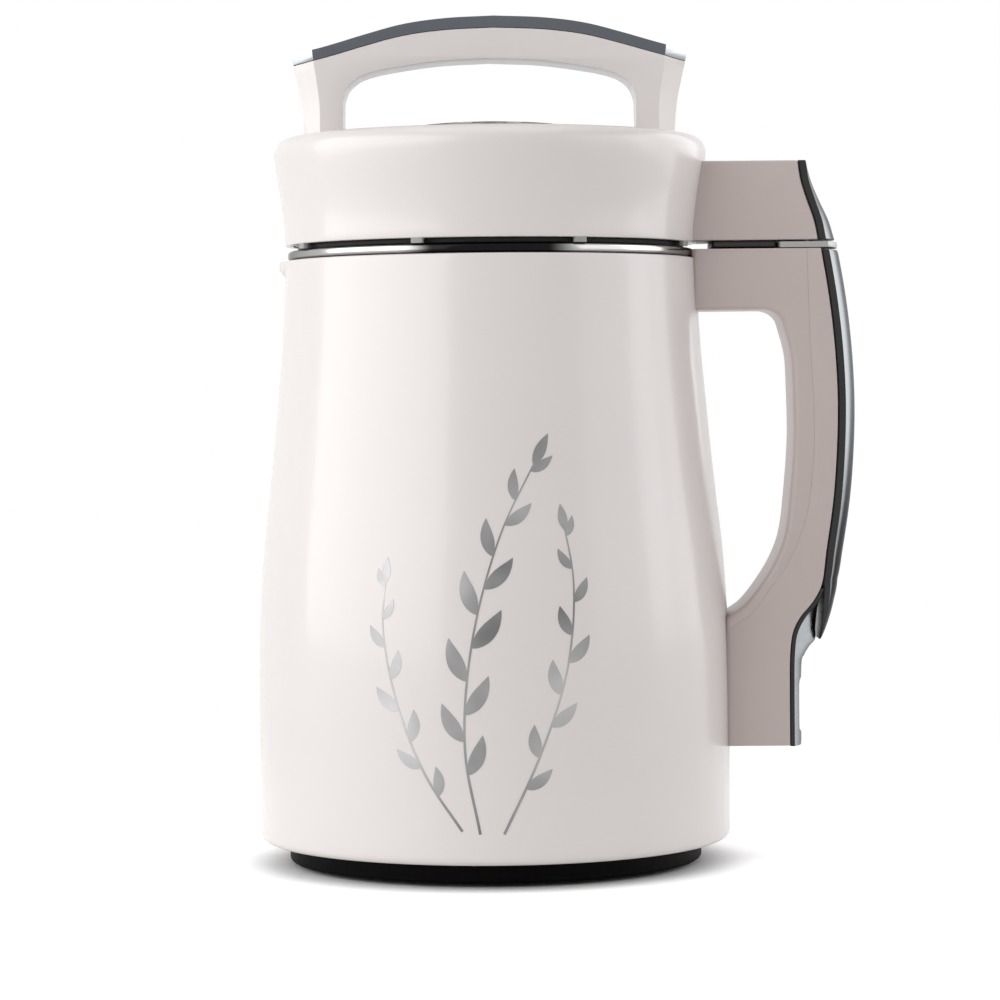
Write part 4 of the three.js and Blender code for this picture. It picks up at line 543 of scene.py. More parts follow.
def make_jacket():
    top_hole, bottom_hole, rows = 69.3, 66, 72
    low, height = SHELL_BOTTOM + 3, SHELL_TOP - SHELL_BOTTOM - 3
    heights = [low + height * i / rows for i in range(rows + 1)]
    outer = [(shell_radius(z), z) for z in heights]
    inner = [(shell_radius(z) - SHELL_WALL, z) for z in heights[1:-3:3]]
    profile = fillet([
        (bottom_hole, SHELL_BOTTOM), (BELLY, SHELL_BOTTOM, 3), (BELLY, SHELL_BOTTOM + 20),
    ], 6)[:-1]
    profile += outer[1:-1]
    profile += fillet([
        outer[-2], (NECK, SHELL_TOP, 0.7), (top_hole, SHELL_TOP, 0.5), (top_hole, SHELL_TOP - 3),
        (NECK - SHELL_WALL, SHELL_TOP - 3 - SHELL_WALL),
    ], 4)[1:]
    profile += inner[::-1]
    profile += [(BELLY - SHELL_WALL, SHELL_BOTTOM + SHELL_WALL), (bottom_hole, SHELL_BOTTOM + SHELL_WALL)]
    jacket = lathe("jacket", profile, 192, pouring_lip)
    dress(jacket, white, "jug", ["outer_shell"], 40)


# Steel cup, gasket

def make_cup():
    radius, wall, floor, corner = 66, 1.2, 52, 6
    inner = radius - wall
    rim_low, rim_high, rim_radius = 220.8, 223.9, 74.3
    cup = lathe("cup", fillet([
        (0, floor), (radius, floor, corner), (radius, rim_low, 0.6), (rim_radius, rim_low, 1.1),
        (rim_radius, rim_high, 1.1), (inner, rim_high, 1.1), (inner, floor + wall, corner - wall),
        (0, floor + wall),
    ], 8), 160)
    dress(cup, steel, "jug", ["inner_cup"], 50)
    face_with(cup, rim_steel, lambda polygon: polygon.center.z > rim_low * MM)
    ring = lathe("cup_seal_ring", [
        (66.3, 216.5), (69, 216.5), (69, 220.2), (68.6, 220.5), (66.6, 220.5), (66.3, 220.2),
    ], 96)
    dress(ring, clear_rubber, "jug", ["cup_gasket"])


# Base, feet and screws

FOOT_ANGLES = [0, TURN / 3, TURN * 2 / 3]
SCREW_ANGLES = [TURN / 6, TURN / 2, TURN * 5 / 6]
FOOT_RING, SCREW_RING = 58, 70.2
GROOVES, GROOVE_TOP = (30, 44), 1.7


def make_base():
    base = lathe("base_tray", fillet([
        (0, 1.2), (75.7, 1.2, 1.4), (75.7, 8.5, 0.4), (65.7, 8.5), (65.7, 13.5, 0.4), (63.1, 13.5, 0.4),
        (63.1, 4.2, 1), (0, 4.2),
    ], 4), 144)
    cutters = [prism("pocket", circle(8.3, at(angle, FOOT_RING)), -2, 2.7) for angle in FOOT_ANGLES]
    cutters += [prism("sink", circle(3.8, at(angle, SCREW_RING), 32), -2, 5.9) for angle in SCREW_ANGLES]
    for r in GROOVES:
        section = [(r - 0.5, -1), (r + 0.5, -1), (r + 0.5, GROOVE_TOP), (r - 0.5, GROOVE_TOP)]
        cutters.append(lathe("groove", section, 96))
    cutters += [prism("vent", rounded_box(7, 1, 0.95, (0, y)), -2, 1.9) for y in range(-16, 17, 8)]
    cut(base, *cutters)
    dress(base, base_black, "jug", ["base_cover"])
    for i, angle in enumerate(FOOT_ANGLES, 1):
        foot = lathe(f"rubber_foot_{i}", fillet([
            (0, 0), (5.2, 0, 0.2), (5.6, 0.5, 0.2), (6.2, 0, 0.2), (8, 0, 0.8), (8, 2.4, 0.2), (0, 2.4),
        ], 3), 48, centre=at(angle, FOOT_RING))
        dress(foot, rubber, "jug", [f"foot_{i}"])
    for i, angle in enumerate(SCREW_ANGLES, 1):
        centre = at(angle, SCREW_RING)
        screw = lathe(f"case_screw_{i}", fillet([
            (0, 3.4), (3.5, 3.6, 1), (3.5, 5.6, 0.2), (1.75, 5.6), (1.75, 19.6, 0.5), (0, 19.6),
        ], 4), 32, centre=centre)
        cut(screw, *[
            prism("cross", rounded_box(*halves, 0.1, centre, 2), 2, 4.7)
            for halves in ((1.9, 0.42), (0.42, 1.9))
        ])
        dress(screw, screw_steel, "jug", [f"base_screw_{i}"])


# Side handle. Its tables hold shares of its height and of its reach.

HANDLE_BOTTOM, HANDLE_TOP, HANDLE_REACH, HANDLE_DEPTH = 43.8, 223.4, 39, 34
BLOCK_BOTTOM = 42.7
BACK = [
    (1, 0.851), (0.9, 0.926), (0.798, 0.977), (0.696, 1), (0.594, 0.99), (0.491, 0.954),
    (0.389, 0.887), (0.318, 0.838), (0.285, 0.757), (0.255, 0.642), (0.225, 0.573), (0.18, 0.544),
    (0.12, 0.5385), (0, 0.5385),
]
INNER = [
    (0.259, -0.018), (0.28, 0.121), (0.328, 0.297), (0.377, 0.428), (0.424, 0.503),
    (0.522, 0.559), (0.619, 0.59), (0.73, 0.582), (0.786, 0.567), (0.836, 0.51),
    (0.8585, 0.474), (0.871, 0.413), (0.877, 0.336),
]
SEAM = [
    (1.01, 0.72), (0.9, 0.735), (0.836, 0.744), (0.742, 0.765), (0.647, 0.782), (0.536, 0.759),
    (0.452, 0.695), (0.369, 0.541), (0.313, 0.362), (0.268, 0.208), (0.241, 0.041), (0.224, -0.1),
]
SEAM_GAP = 0.03
INLET_Z, INLET_DEPTH, INLET_RECESS = 57, 22, 16
PINS = {"earth": (0, 61), "live": (7, 55), "neutral": (-7, 55)}
SOCKET_PLACE = (93, 0)


def handle_z(t):
    return HANDLE_BOTTOM + t * (HANDLE_TOP - HANDLE_BOTTOM)


def handle_line(table, steps):
    return spline([(BELLY + s * HANDLE_REACH, handle_z(t)) for t, s in table], steps)


BACK_LINE = handle_line(BACK, 8)
BACK_BY_HEIGHT = sorted((z, x) for x, z in BACK_LINE)


def back_x(t):
    return between(BACK_BY_HEIGHT, handle_z(t))


def handle_outline(room):
    """The handle's outline, carried past its back edge, top and bottom by some room."""
    inner = handle_line(INNER, 6)
    return [
        (72.8, HANDLE_TOP + room), (72.8, inner[-1][1]), *inner[::-1],
        (84.2, inner[0][1] - 1.5), (84.2, BLOCK_BOTTOM - room),
        (BACK_LINE[-1][0] + room, BLOCK_BOTTOM - room),
        *[(x + room, z) for x, z in BACK_LINE[::-1]], (BACK_LINE[0][0] + room, HANDLE_TOP + room),
    ]


def inlet_hole(name):
    return bar(name, rounded_box(13.5, 10, 2.8, (0, INLET_Z)), 95, 140)


def make_handle():
    """The handle is cut in two along its seam, with a soft edge there, and then to its true outline."""
    mask_depth = HANDLE_DEPTH + 8
    grip = bevelled(plate("handle_grip", handle_outline(5), HANDLE_DEPTH), 3.2, 6, 40)
    back = linked(bpy.data.objects.new("handle_back", grip.data.copy()))
    seam = handle_line(SEAM, 8)
    side = [(60, 245), *seam, (60, seam[-1][1])]
    cut(grip, plate("mask_grip", [(x - SEAM_GAP, z) for x, z in side], mask_depth), how="INTERSECT")
    cut(back, plate("mask_back", [(x + SEAM_GAP, z) for x, z in side], mask_depth))
    bevelled(back, 0.75, 3, 55)
    true_edge = [(60, HANDLE_TOP), *BACK_LINE, (BACK_LINE[-1][0], BLOCK_BOTTOM), (60, BLOCK_BOTTOM)]
    for piece in (grip, back):
        cut(piece, plate("mask_edge", true_edge, mask_depth), how="INTERSECT")
        cut(piece, prism("socket_hole", rounded_box(9.8, 11.8, 1.5, SOCKET_PLACE), 210, 230))
    cut(back, inlet_hole("inlet_hole"))
    for piece, node in ((grip, "handle_grip_shell"), (back, "handle_back_shell")):
        bevelled(piece, 0.25, 2, 55)
        dress(piece, grey_white, "jug", [node], 38)


def crowned(back, thickness, crown, half, z, steps=14, edge=0.5, power=2):
    """A strip's section: flat back, two sides and a crowned face with softened corners."""
    face = []
    for i in range(steps + 1):
        across = -1 + 2 * i / steps
        face.append((back + thickness + crown * (1 - abs(across) ** power), across * half, z))
    low = [(back, -half + edge, z), (back + edge, -half, z), (back + thickness - edge, -half, z)]
    high = [(x, -y, z) for x, y, z in reversed(low)]
    return low + face + high


def chrome_strip(piece, body, node, face):
    """Sides in a dark copy of the chrome, as painted dark reflection, and the crowned face in a brighter
    chrome of its own.
    """
    dress(piece, chrome_side_painted_reflection, body, [node], 34)
    face_with(piece, face, lambda polygon: polygon.normal.x > 0.12 and abs(polygon.normal.y) < 0.93)


# Rows of height, and shares of the strip's thickness and of its crown
TRIM = [
    (0.207, 0.16, 0.1), (0.215, 0.3, 0.22), (0.245, 0.55, 0.45), (0.285, 0.8, 0.66), (0.33, 0.95, 0.86),
    (0.389, 1, 0.95), (0.491, 1, 0.98), (0.594, 1, 1), (0.696, 1, 1), (0.798, 1, 1), (0.9, 1, 1),
    (0.985, 1, 0.98), (0.997, 0.94, 0.96),
]
BEZEL = [
    (-0.005, 0.9, 0.9), (0.003, 1, 1), (0.06, 1, 1), (0.12, 1, 1), (0.155, 1, 1.05), (0.175, 1, 1.35),
    (0.193, 1, 1.9), (0.208, 1, 2.45), (0.23, 1.1, 2.1), (0.255, 1.2, 1.45), (0.285, 1.1, 0.35),
    (0.312, 0.7, 0.05),
]
TRIM_TAIL, TRIM_THICKNESS, TRIM_CROWN, TRIM_LEAN = 0.33, 2.7, 4.7, 3.2
BEZEL_THICKNESS, BEZEL_CROWN = 1.55, 3.3


def make_handle_trim():
    """The trim narrows and leans in towards its free tip, below TRIM_TAIL."""
    rings = []
    for t, thick, crown in spline(TRIM, 6):
        tail = max(0.0, (TRIM_TAIL - t) / (TRIM_TAIL - TRIM[0][0]))
        half = HANDLE_DEPTH / 2 * (1 - tail * tail * 0.45)
        back = back_x(max(t, TRIM_TAIL)) + 0.3 - TRIM_LEAN * tail * tail * 0.3
        rings.append(crowned(back, thick * TRIM_THICKNESS, crown * TRIM_CROWN, half, handle_z(t)))
    chrome_strip(loft("handle_chrome", rings), "jug", "handle_trim", band_chrome)


def make_bezel():
    rings = [
        crowned(
            back_x(t) + 0.2, thick * BEZEL_THICKNESS, crown * BEZEL_CROWN, HANDLE_DEPTH / 2, handle_z(t),
            steps=20, edge=0.3, power=4,
        )
        for t, thick, crown in spline(BEZEL, 6)
    ]
    piece = cut(loft("inlet_frame", rings), inlet_hole("bezel_hole"))
    chrome_strip(piece, "jug", "inlet_bezel", frame_chrome)


def make_top_plate():
    length = 17.8
    back = back_x(1) + TRIM_THICKNESS - length
    outline = [(x, y) for x, y, _ in crowned(back, length, TRIM_CROWN, HANDLE_DEPTH / 2, 0)]
    piece = bevelled(prism("top_plate", outline, 223.7, 225.9), 0.3, 2, 50)
    dress(piece, silver, "jug", ["handle_top_plate"])


def make_inlet():
    face = back_x(0) + 3.6
    body = bar("inlet_body", rounded_box(13.2, 9.7, 2.2, (0, INLET_Z), 5), face - INLET_DEPTH, face)
    recess = bar("recess", fillet([
        (0, 49.4), (11.3, 49.4, 1), (11.3, 60.6, 0.5), (7.3, 64.6, 0.5), (-7.3, 64.6, 0.5),
        (-11.3, 60.6, 0.5), (-11.3, 49.4, 1), (0, 49.4),
    ], 3)[:-1], face - INLET_RECESS, face + 5)
    holes = [
        bar("pin_room", rounded_box(1.3, 2.3, 0.3, centre, 2), face - 30, face - 10)
        for centre in PINS.values()
    ]
    cut(body, recess, *holes)
    bevelled(body, 0.4, 2, 50)
    dress(body, black_plastic, "jug", ["inlet_socket"])
    end = face - INLET_RECESS / 6
    for name, centre in PINS.items():
        pin = bar(f"pin_{name}", rounded_box(1, 2, 0.25, centre, 3), end - 19, end)
        bevelled(pin, 0.45, 3, 50)
        dress(pin, brass, "jug", [f"inlet_pin_{name}"])


def make_coupler_socket():
    body = prism("socket_body", rounded_box(9.5, 11.5, 1.2, SOCKET_PLACE), 210.7, 223.7)
    cut(body, prism("socket_recess", rounded_box(6.9, 8.9, 0.8, SOCKET_PLACE), 213.1, 226))
    bevelled(body, 0.3, 2, 50)
    dress(body, black_plastic, "jug", ["coupler_socket"])


# Head

HEAD_BOTTOM, HEAD_TOP = 226, 265
HEAD_LOW_RADIUS, HEAD_FLARE = 75.2, 4
HEAD_CURVE = spline([
    (0, 0), (0.1, 0.035), (0.22, 0.12), (0.4, 0.33), (0.59, 0.63), (0.75, 0.87), (0.85, 0.97), (1, 1),
], 6)
PANEL_RADIUS, PANEL_RISE, PANEL_WALL = 52.5, 5.8, 2.4
PANEL_SPHERE = (PANEL_RADIUS ** 2 + PANEL_RISE ** 2) / (2 * PANEL_RISE)
BUTTON_RING, BUTTON_FLANGE = 33, 7.4
BUTTONS = [at(math.radians(-90 + 32 * (i - 1)), BUTTON_RING) for i in range(3)]
LAMP_OFFSET = 10.5  # from a button's middle out to its lamp
RIBS, RIB_RING, FIRST_RIB = 8, 73.8, 25 - 90  # the first rib's angle in degrees


def head_radius(z):
    return HEAD_LOW_RADIUS + HEAD_FLARE * between(HEAD_CURVE, (z - HEAD_BOTTOM) / (HEAD_TOP - HEAD_BOTTOM))


def panel_z(radius):
    return HEAD_TOP + PANEL_RISE - PANEL_SPHERE + math.sqrt(PANEL_SPHERE ** 2 - radius ** 2)


def make_head():
    rows = 24
    heights = [HEAD_BOTTOM + (HEAD_TOP - HEAD_BOTTOM) * i / rows for i in range(rows + 1)]
    outer = [(head_radius(z), z) for z in heights if z < HEAD_TOP - 6.4]
    inner = [(r - 2.8, z) for r, z in outer if z > 231.3][::-2]
    ledge, deck = HEAD_TOP - 2.3, HEAD_TOP - 2.8
    top = fillet([
        outer[-1], (79.2, HEAD_TOP, 6), (52.8, HEAD_TOP, 0.5), (52.8, ledge), (48.8, ledge),
        (48.8, ledge - 2.8), (55.6, ledge - 2.8), (55.6, deck), (73.2, deck), (76.2, deck - 3.2),
    ], 10)
    bottom = fillet([(72.4, HEAD_BOTTOM), (HEAD_LOW_RADIUS, HEAD_BOTTOM, 0.6), outer[2]], 4)
    profile = bottom[:-1] + outer[2:-1] + top + inner
    profile += [(72.4, 231.1), (68, 231.1), (68, 228.6), (72.4, 228.6)]
    shell = lathe("head_crown", profile, 176)
    ribs = []
    for i in range(RIBS):
        angle = math.radians(FIRST_RIB + 360 / RIBS * i)
        box = rounded_box(1.1, 2.25, 0.5, (0, 0), 3)
        outline = [turned(point, angle, at(angle, RIB_RING)) for point in box]
        ribs.append(prism("rib", outline, 224.2, 228))
    dress(shell, white, "head", ["head_shell"], 40)
    # ribs in the white plastic with painted shade
    dress(joined("head_ribs", ribs), rib_painted_shade, "head", ["head_shell"], 40)


def follow_dome(piece, lowest):
    """Tilts a button's top, so that it lies in the panel's dome."""
    for vertex in piece.data.vertices:
        x, y, z = vertex.co.x / MM - AXIS, vertex.co.y / MM, vertex.co.z / MM
        if z > lowest:
            vertex.co.z = (z + panel_z(math.hypot(x, y)) - panel_z(BUTTON_RING)) * MM


def make_panel():
    inner_radius = PANEL_RADIUS - 4
    radii = [PANEL_RADIUS * i / 20 for i in range(20)] + [PANEL_RADIUS - 0.6]
    profile = [(r, panel_z(r)) for r in radii]
    profile += [(PANEL_RADIUS, panel_z(PANEL_RADIUS) - 0.5)]
    profile += [(PANEL_RADIUS, HEAD_TOP - 2), (inner_radius, HEAD_TOP - 2)]
    profile += [(r, panel_z(r) - PANEL_WALL) for r in [inner_radius * i / 8 for i in range(8, -1, -1)]]
    dome = lathe("panel_dome", profile, 128)
    cut(dome, *[prism("button_hole", circle(6.3, centre, 48), 260, 275) for centre in BUTTONS])
    dress(dome, panel_gloss, "head", ["control_panel"], 40)

    top = panel_z(BUTTON_RING) - 0.15
    flange = panel_z(BUTTON_RING + BUTTON_FLANGE) - PANEL_WALL - 0.3
    button_profile = fillet([
        (0, flange - 5.4), (2.5, flange - 5.4, 0.3), (2.5, flange - 1.4),
        (BUTTON_FLANGE, flange - 1.4), (BUTTON_FLANGE, flange), (6, flange),
        (6, top, 0.4), (5.4, top, 0.1), (5.4, top - 0.4), (0, top - 0.4),
    ], 4)
    face_profile = [(0, top - 0.5)] + fillet([
        (5.3, top - 0.5), (5.3, top - 0.05, 0.2), (4.2, top, 0.5), (2.4, top - 0.25, 1), (0, top - 0.3),
    ], 4)
    for i, centre in enumerate(BUTTONS, 1):
        button = lathe(f"push_button_{i}", button_profile, 64, centre=centre)
        follow_dome(button, top - 0.6)
        dress(button, button_silver, f"button_{i}", [f"button_{i}"])
        face = lathe(f"button_face_{i}", face_profile, 64, centre=centre)
        follow_dome(face, top - 0.8)
        dress(face, panel_gloss, f"button_{i}")


def on_dome(name, outline, rise=0.12, cuts=2):
    """A thin piece with an outline of points (x, y), laid on the panel's dome. A long one takes
    more cuts, so that the dome doesn't stand out of it between its points."""
    sink = 0.3
    work = bmesh.new()
    work.faces.new([work.verts.new((x * MM, y * MM, 0)) for x, y in outline])
    bmesh.ops.triangulate(work, faces=work.faces)
    bmesh.ops.subdivide_edges(work, edges=work.edges, cuts=cuts, use_grid_fill=True)
    made = bmesh.ops.extrude_face_region(work, geom=work.faces[:])
    raised = {v for v in made["geom"] if isinstance(v, bmesh.types.BMVert)}
    for vertex in work.verts:
        x, y = vertex.co.x / MM, vertex.co.y / MM
        offset = rise if vertex in raised else -sink
        vertex.co = place((x, y, panel_z(math.hypot(x, y)) + offset))
    bmesh.ops.recalc_face_normals(work, faces=work.faces)
    return finished(name, work)


def make_marks():
    window = on_dome("display_window", rounded_box(19, 9, 3, (0, 8)), 0.06, 9)
    dress(window, window_gloss, "head")
    dots = []
    for x, y in BUTTONS:
        length = math.hypot(x, y)
        centre = (x * (length + LAMP_OFFSET) / length, y * (length + LAMP_OFFSET) / length)
        dots.append(on_dome("lamp_mark", circle(1.0, centre, 20)))
    dots += [on_dome("step_mark", circle(0.7, (x, 21.5), 16)) for x in range(-14, 15, 7)]
    dress(joined("panel_marks", dots), mark_white, "head")


# Carry handle. Its tables hold shares of its height, half span and drop.

CARRY_BOTTOM, CARRY_APEX, CARRY_SPAN, CARRY_DROP = 265.3, 304.5, 72.3, 12.6
CARRY_REACH = 82  # how far its outlines go on before the mask cuts them
APEX_PLACE = 1.8  # the arch's highest point, a little nearer to the side handle
CARRY_DEPTH, END_DEPTH = 11.5, 4.7  # half the depth of the handle, and of its ends
FACET_LOW, FACET_HIGH, FACET_RISE = 5.8, 8.0, 29  # the corner facets' reach, growing over a height
LEG = spline([(0, 0.935), (0.13, 0.938), (0.31, 0.947), (0.5, 0.967), (0.69, 0.99), (0.8, 1), (1.3, 1)], 6)
ARCH = [(0, 0), (0.254, 0.065), (0.458, 0.22), (0.661, 0.52), (0.8, 0.75), (0.9, 0.9), (1, 1)]
OPENING = [
    (0, 1), (0.345, 0.969), (0.621, 0.9), (0.788, 0.839), (0.891, 0.77), (0.9625, 0.655), (0.994, 0.517),
    (1, 0.364), (1, 0),
]
OPENING_HALF, OPENING_TOP = 53.3, 293.5


def leg_x(z):
    return CARRY_SPAN * between(LEG, (z - CARRY_BOTTOM) / (CARRY_APEX - CARRY_BOTTOM))


def mirrored(right):
    """A line from the left end to the right one, from its right half, which starts in the middle."""
    return [(-x, z) for x, z in right[:0:-1]] + right


def arch(lift, drop):
    """The top's line, carried on past both ends of the handle."""
    right = spline([(s * CARRY_SPAN, CARRY_APEX + lift - d * drop) for s, d in ARCH], 8)
    line = [(x + APEX_PLACE, z) for x, z in mirrored(right)]
    (x1, z1), (x2, z2) = line[-4], line[-1]
    z = z2 + (z2 - z1) / (x2 - x1) * (CARRY_REACH - x2)
    return [(-CARRY_REACH, z), *line, (CARRY_REACH, z)]


def masked(name, outline):
    """An outline (x, z) within the handle's shape from above, which has a facet on each corner."""
    rings = []
    for i in range(20):
        z = CARRY_BOTTOM - 6 + i * 3
        facet = FACET_LOW + (FACET_HIGH - FACET_LOW) * clamped((z - CARRY_BOTTOM) / FACET_RISE)
        quarter = [(leg_x(z), END_DEPTH), (leg_x(z) - facet, CARRY_DEPTH)]
        ring = quarter + [(-x, y) for x, y in quarter[::-1]]
        ring += [(-x, -y) for x, y in ring]
        rings.append([(x, y, z) for x, y in ring])
    piece = plate(name, outline, 2 * CARRY_DEPTH + 4)
    return cut(piece, loft("mask", rings), how="INTERSECT")


def make_carry_handle():
    height = OPENING_TOP - CARRY_BOTTOM
    opening = mirrored(spline([(s * OPENING_HALF, CARRY_BOTTOM + t * height) for s, t in OPENING], 10))
    top = arch(0, CARRY_DROP)
    body = masked("carry_arch", [
        *opening, (CARRY_REACH, CARRY_BOTTOM), *top[::-1], (-CARRY_REACH, CARRY_BOTTOM),
    ])
    bevelled(body, 1.1, 4, 28)
    dress(body, white, "head", ["carry_handle"], 40)
    trim = masked("carry_chrome", arch(0.25, CARRY_DROP) + arch(4.4, CARRY_DROP + 0.3)[::-1])
    bevelled(trim, 0.8, 3, 28)
    # front and back in the dark copy of the chrome as painted dark reflection; top and ends in the bright
    # chrome
    dress(trim, dark_chrome, "head", ["carry_handle_trim"], 40)
    face_with(trim, bright_chrome, lambda polygon: abs(polygon.normal.y) <= 0.85)


# Coupler on the head

COUPLER_LINE = spline([(0, 0.828), (0.25, 0.79), (0.5, 0.726), (0.75, 0.669), (1, 0.641)], 6)
COUPLER_BOTTOM, COUPLER_HEIGHT = 226.5, 28.7
COUPLER_WALL, COUPLER_ROOM_TOP, COUPLER_CROWN = 2.5, 252.7, 4.5
COUPLER_TRIM = [  # rows as in TRIM
    (0.01, 1, 1), (0.25, 1, 0.85), (0.5, 1, 0.66), (0.8, 1, 0.42), (0.985, 1, 0.16), (1, 0.9, 0.12),
]


def coupler_x(t):
    return BELLY + between(COUPLER_LINE, t) * HANDLE_REACH


def make_coupler():
    back = [(coupler_x(i / 20), COUPLER_BOTTOM + COUPLER_HEIGHT * i / 20) for i in range(21)]
    outline = [(68, COUPLER_BOTTOM), *back, (68, COUPLER_BOTTOM + COUPLER_HEIGHT)]
    body = bevelled(plate("coupler_cover", outline, HANDLE_DEPTH), 0.7, 3, 40)
    heights = [COUPLER_BOTTOM - 3 + 3 * i for i in range(12)]
    crown = [(0, heights[0])] + [(head_radius(z) + 0.05, z) for z in heights] + [(0, heights[-1])]
    cut(body, lathe("crown_room", crown, 176))
    wall = [(x - COUPLER_WALL, z) for x, z in back if z < COUPLER_ROOM_TOP]
    room = [
        (82, 220), (wall[0][0], 220), *wall[:-1], (wall[-2][0], COUPLER_ROOM_TOP), (82, COUPLER_ROOM_TOP),
    ]
    cut(body, plate("coupler_room", room, HANDLE_DEPTH - 2 * COUPLER_WALL))
    dress(body, grey_white, "head", ["coupler_housing"], 38)

    rings = []
    for t, thick, rise in spline(COUPLER_TRIM, 6):
        x, z = coupler_x(t) + 0.2, COUPLER_BOTTOM + t * COUPLER_HEIGHT
        rings.append(crowned(x, thick * TRIM_THICKNESS, rise * COUPLER_CROWN, HANDLE_DEPTH / 2, z))
    chrome_strip(loft("coupler_chrome", rings), "head", "coupler_trim", band_chrome)


def make_plug():
    flange = prism("plug_flange", rounded_box(12.4, 14.2, 2, (94.6, 0)), 226.8, 229.8)
    lower = prism("plug_skirt", rounded_box(11.9, 14.2, 1.6, (92.2, 0)), 224, 226.35)
    stem = prism("plug_stem", rounded_box(6.5, 8.5, 1, SOCKET_PLACE), 215.5, 228)
    parts = [bevelled(flange, 0.3, 2, 50), bevelled(lower, 0.4, 2, 50), bevelled(stem, 0.4, 2, 50)]
    dress(joined("coupler_plug_body", parts), black_plastic, "head", ["coupler_plug"])


# Drum, guard and what hangs in the cup

def make_drum():
    drum = lathe("drum", fillet([
        (9.5, 96, 0.3), (14, 96, 0.6), (14, 150, 2), (44, 150, 6), (44, 226.3, 1), (72.1, 226.3, 0.4),
        (72.1, 228.3, 0.4), (42.4, 228.3, 0.4), (42.4, 151.6, 5), (9.5, 151.6),
    ], 6), 144)
    lugs = [prism("lug", rounded_box(2.3, 3.5, 0.6, (x, 0), 3), 105, 108) for x in (-14, 14)]
    drum = joined("drum_and_lugs", [drum, *lugs])
    dress(drum, brushed, "head", ["lower_drum"], 40)
    seal = lathe("head_seal_ring", fillet([
        (61.9, 217.7), (64.5, 217.7, 0.5), (64.5, 224.2), (70.5, 224.2, 0.5), (70.5, 226, 0.5), (61.9, 226),
    ], 4), 128)
    dress(seal, rubber, "head", ["head_seal"])
    for name, y, radius, tip in (("temperature", 54, 3, 104), ("overflow", -54, 2.2, 196)):
        piece = lathe(f"probe_{name}", fillet([
            (0, tip), (radius, tip, radius * 0.9), (radius, 222), (4.6, 222, 0.5), (4.6, 226, 0.5),
            (2.2, 226), (2.2, 231), (0, 231),
        ], 5), 32, centre=(0, y))
        dress(piece, steel, "head", [f"{name}_probe"], 40)


WINDOWS = 6
ENTRY_TURN = math.radians(30)  # the bayonet's entries lie this far from the lugs


def make_guard():
    guard = lathe("guard_cup", fillet([
        (14.3, 98), (31, 89, 3), (31, 66, 0.5), (33, 66, 0.5), (33, 90, 4), (19, 100, 2), (19, 112, 0.8),
        (14.3, 112, 0.4),
    ], 5), 120)
    cutters = []
    for i in range(WINDOWS):
        window = bar("window", rounded_box(6.5, 8.5, 3, (0, 79.5)), 26, 36)
        for vertex in window.data.vertices:
            arm = (vertex.co.x - AXIS * MM, vertex.co.y)
            vertex.co.x, vertex.co.y = turned(arm, TURN * (i + 0.5) / WINDOWS, (AXIS * MM, 0))
        cutters.append(window)
    groove = lathe("guard_groove", [(14.0, 104.7), (17, 104.7), (17, 108.3), (14.0, 108.3)], 64)
    cut(guard, *cutters, groove)
    entries = []
    for side in (0, 1):
        angle = math.pi * side - ENTRY_TURN
        outline = [turned(point, angle) for point in rounded_box(2.4, 3.8, 0.4, (14.2, 0), 2)]
        entries.append(prism("entry", outline, 105, 114))
    cut(guard, *entries)
    dress(guard, brushed, "guard", ["blade_guard"], 40)


# Print on the front

PRINT_RISE, PRINT_SINK = 0.09, 0.35  # the leaves' faces above and below the jacket's
PRINT_RADIUS = 84  # where a leaf's width is measured
COLUMNS = 4


def on_front(name, outlines):
    """Thin closed leaves, laid on the jacket. Each outline has two sides of points (u, z), u being
    the way round the front in millimetres."""
    points, faces = [], []
    for left, right in outlines:
        rows = []
        for (u0, z0), (u1, z1) in zip(left, right):
            row = []
            for k in range(COLUMNS + 1):
                u, z = u0 + (u1 - u0) * k / COLUMNS, z0 + (z1 - z0) * k / COLUMNS
                row.append((len(points), len(points) + 1))
                for offset in (PRINT_RISE, -PRINT_SINK):
                    points.append((*at(u / PRINT_RADIUS - TURN / 4, shell_radius(z) + offset), z))
            rows.append(row)
        for a, b in zip(rows, rows[1:]):
            for k in range(COLUMNS):
                faces.append((a[k][0], a[k + 1][0], b[k + 1][0], b[k][0]))
                faces.append((a[k][1], b[k][1], b[k + 1][1], a[k + 1][1]))
            faces.append((a[0][0], b[0][0], b[0][1], a[0][1]))
            faces.append((a[-1][0], a[-1][1], b[-1][1], b[-1][0]))
        for row, flip in ((rows[0], False), (rows[-1], True)):
            for k in range(COLUMNS):
                face = (row[k][0], row[k][1], row[k + 1][1], row[k + 1][0])
                faces.append(face[::-1] if flip else face)
    return mesh_object(name, points, faces)


def both_sides(stroke):
    """The sides of a stroke, whose rows hold a point, a heading and half a width."""
    left = [(u - dz * half, z + du * half) for (u, z), (du, dz), half in stroke]
    right = [(u + dz * half, z - du * half) for (u, z), (du, dz), half in stroke]
    return left, right


def stem_shape(line, wide, thin):
    """A tapering stroke along a line of points (u, z)."""
    stroke = []
    last = len(line) - 1
    for i, point in enumerate(line):
        before, after = line[max(0, i - 1)], line[min(last, i + 1)]
        along = Vector((after[0] - before[0], after[1] - before[1])).normalized()
        stroke.append((point, along, (wide + (thin - wide) * i / last) / 2))
    return both_sides(stroke)


def leaf_shape(root, angle, length, width, bend=0.0, steps=14):
    """A pointed leaf from its root, at an angle in degrees from the upright."""
    stroke = []
    u, z = root
    for i in range(steps + 1):
        s = i / steps
        turn = math.radians(angle) + bend * s
        du, dz = math.sin(turn), math.cos(turn)
        half = max(0.04, width / 2 * math.sin(math.pi * s ** 0.85) ** 0.9)
        stroke.append(((u, z), (du, dz), half))
        u, z = u + length / steps * du, z + length / steps * dz
    return both_sides(stroke)


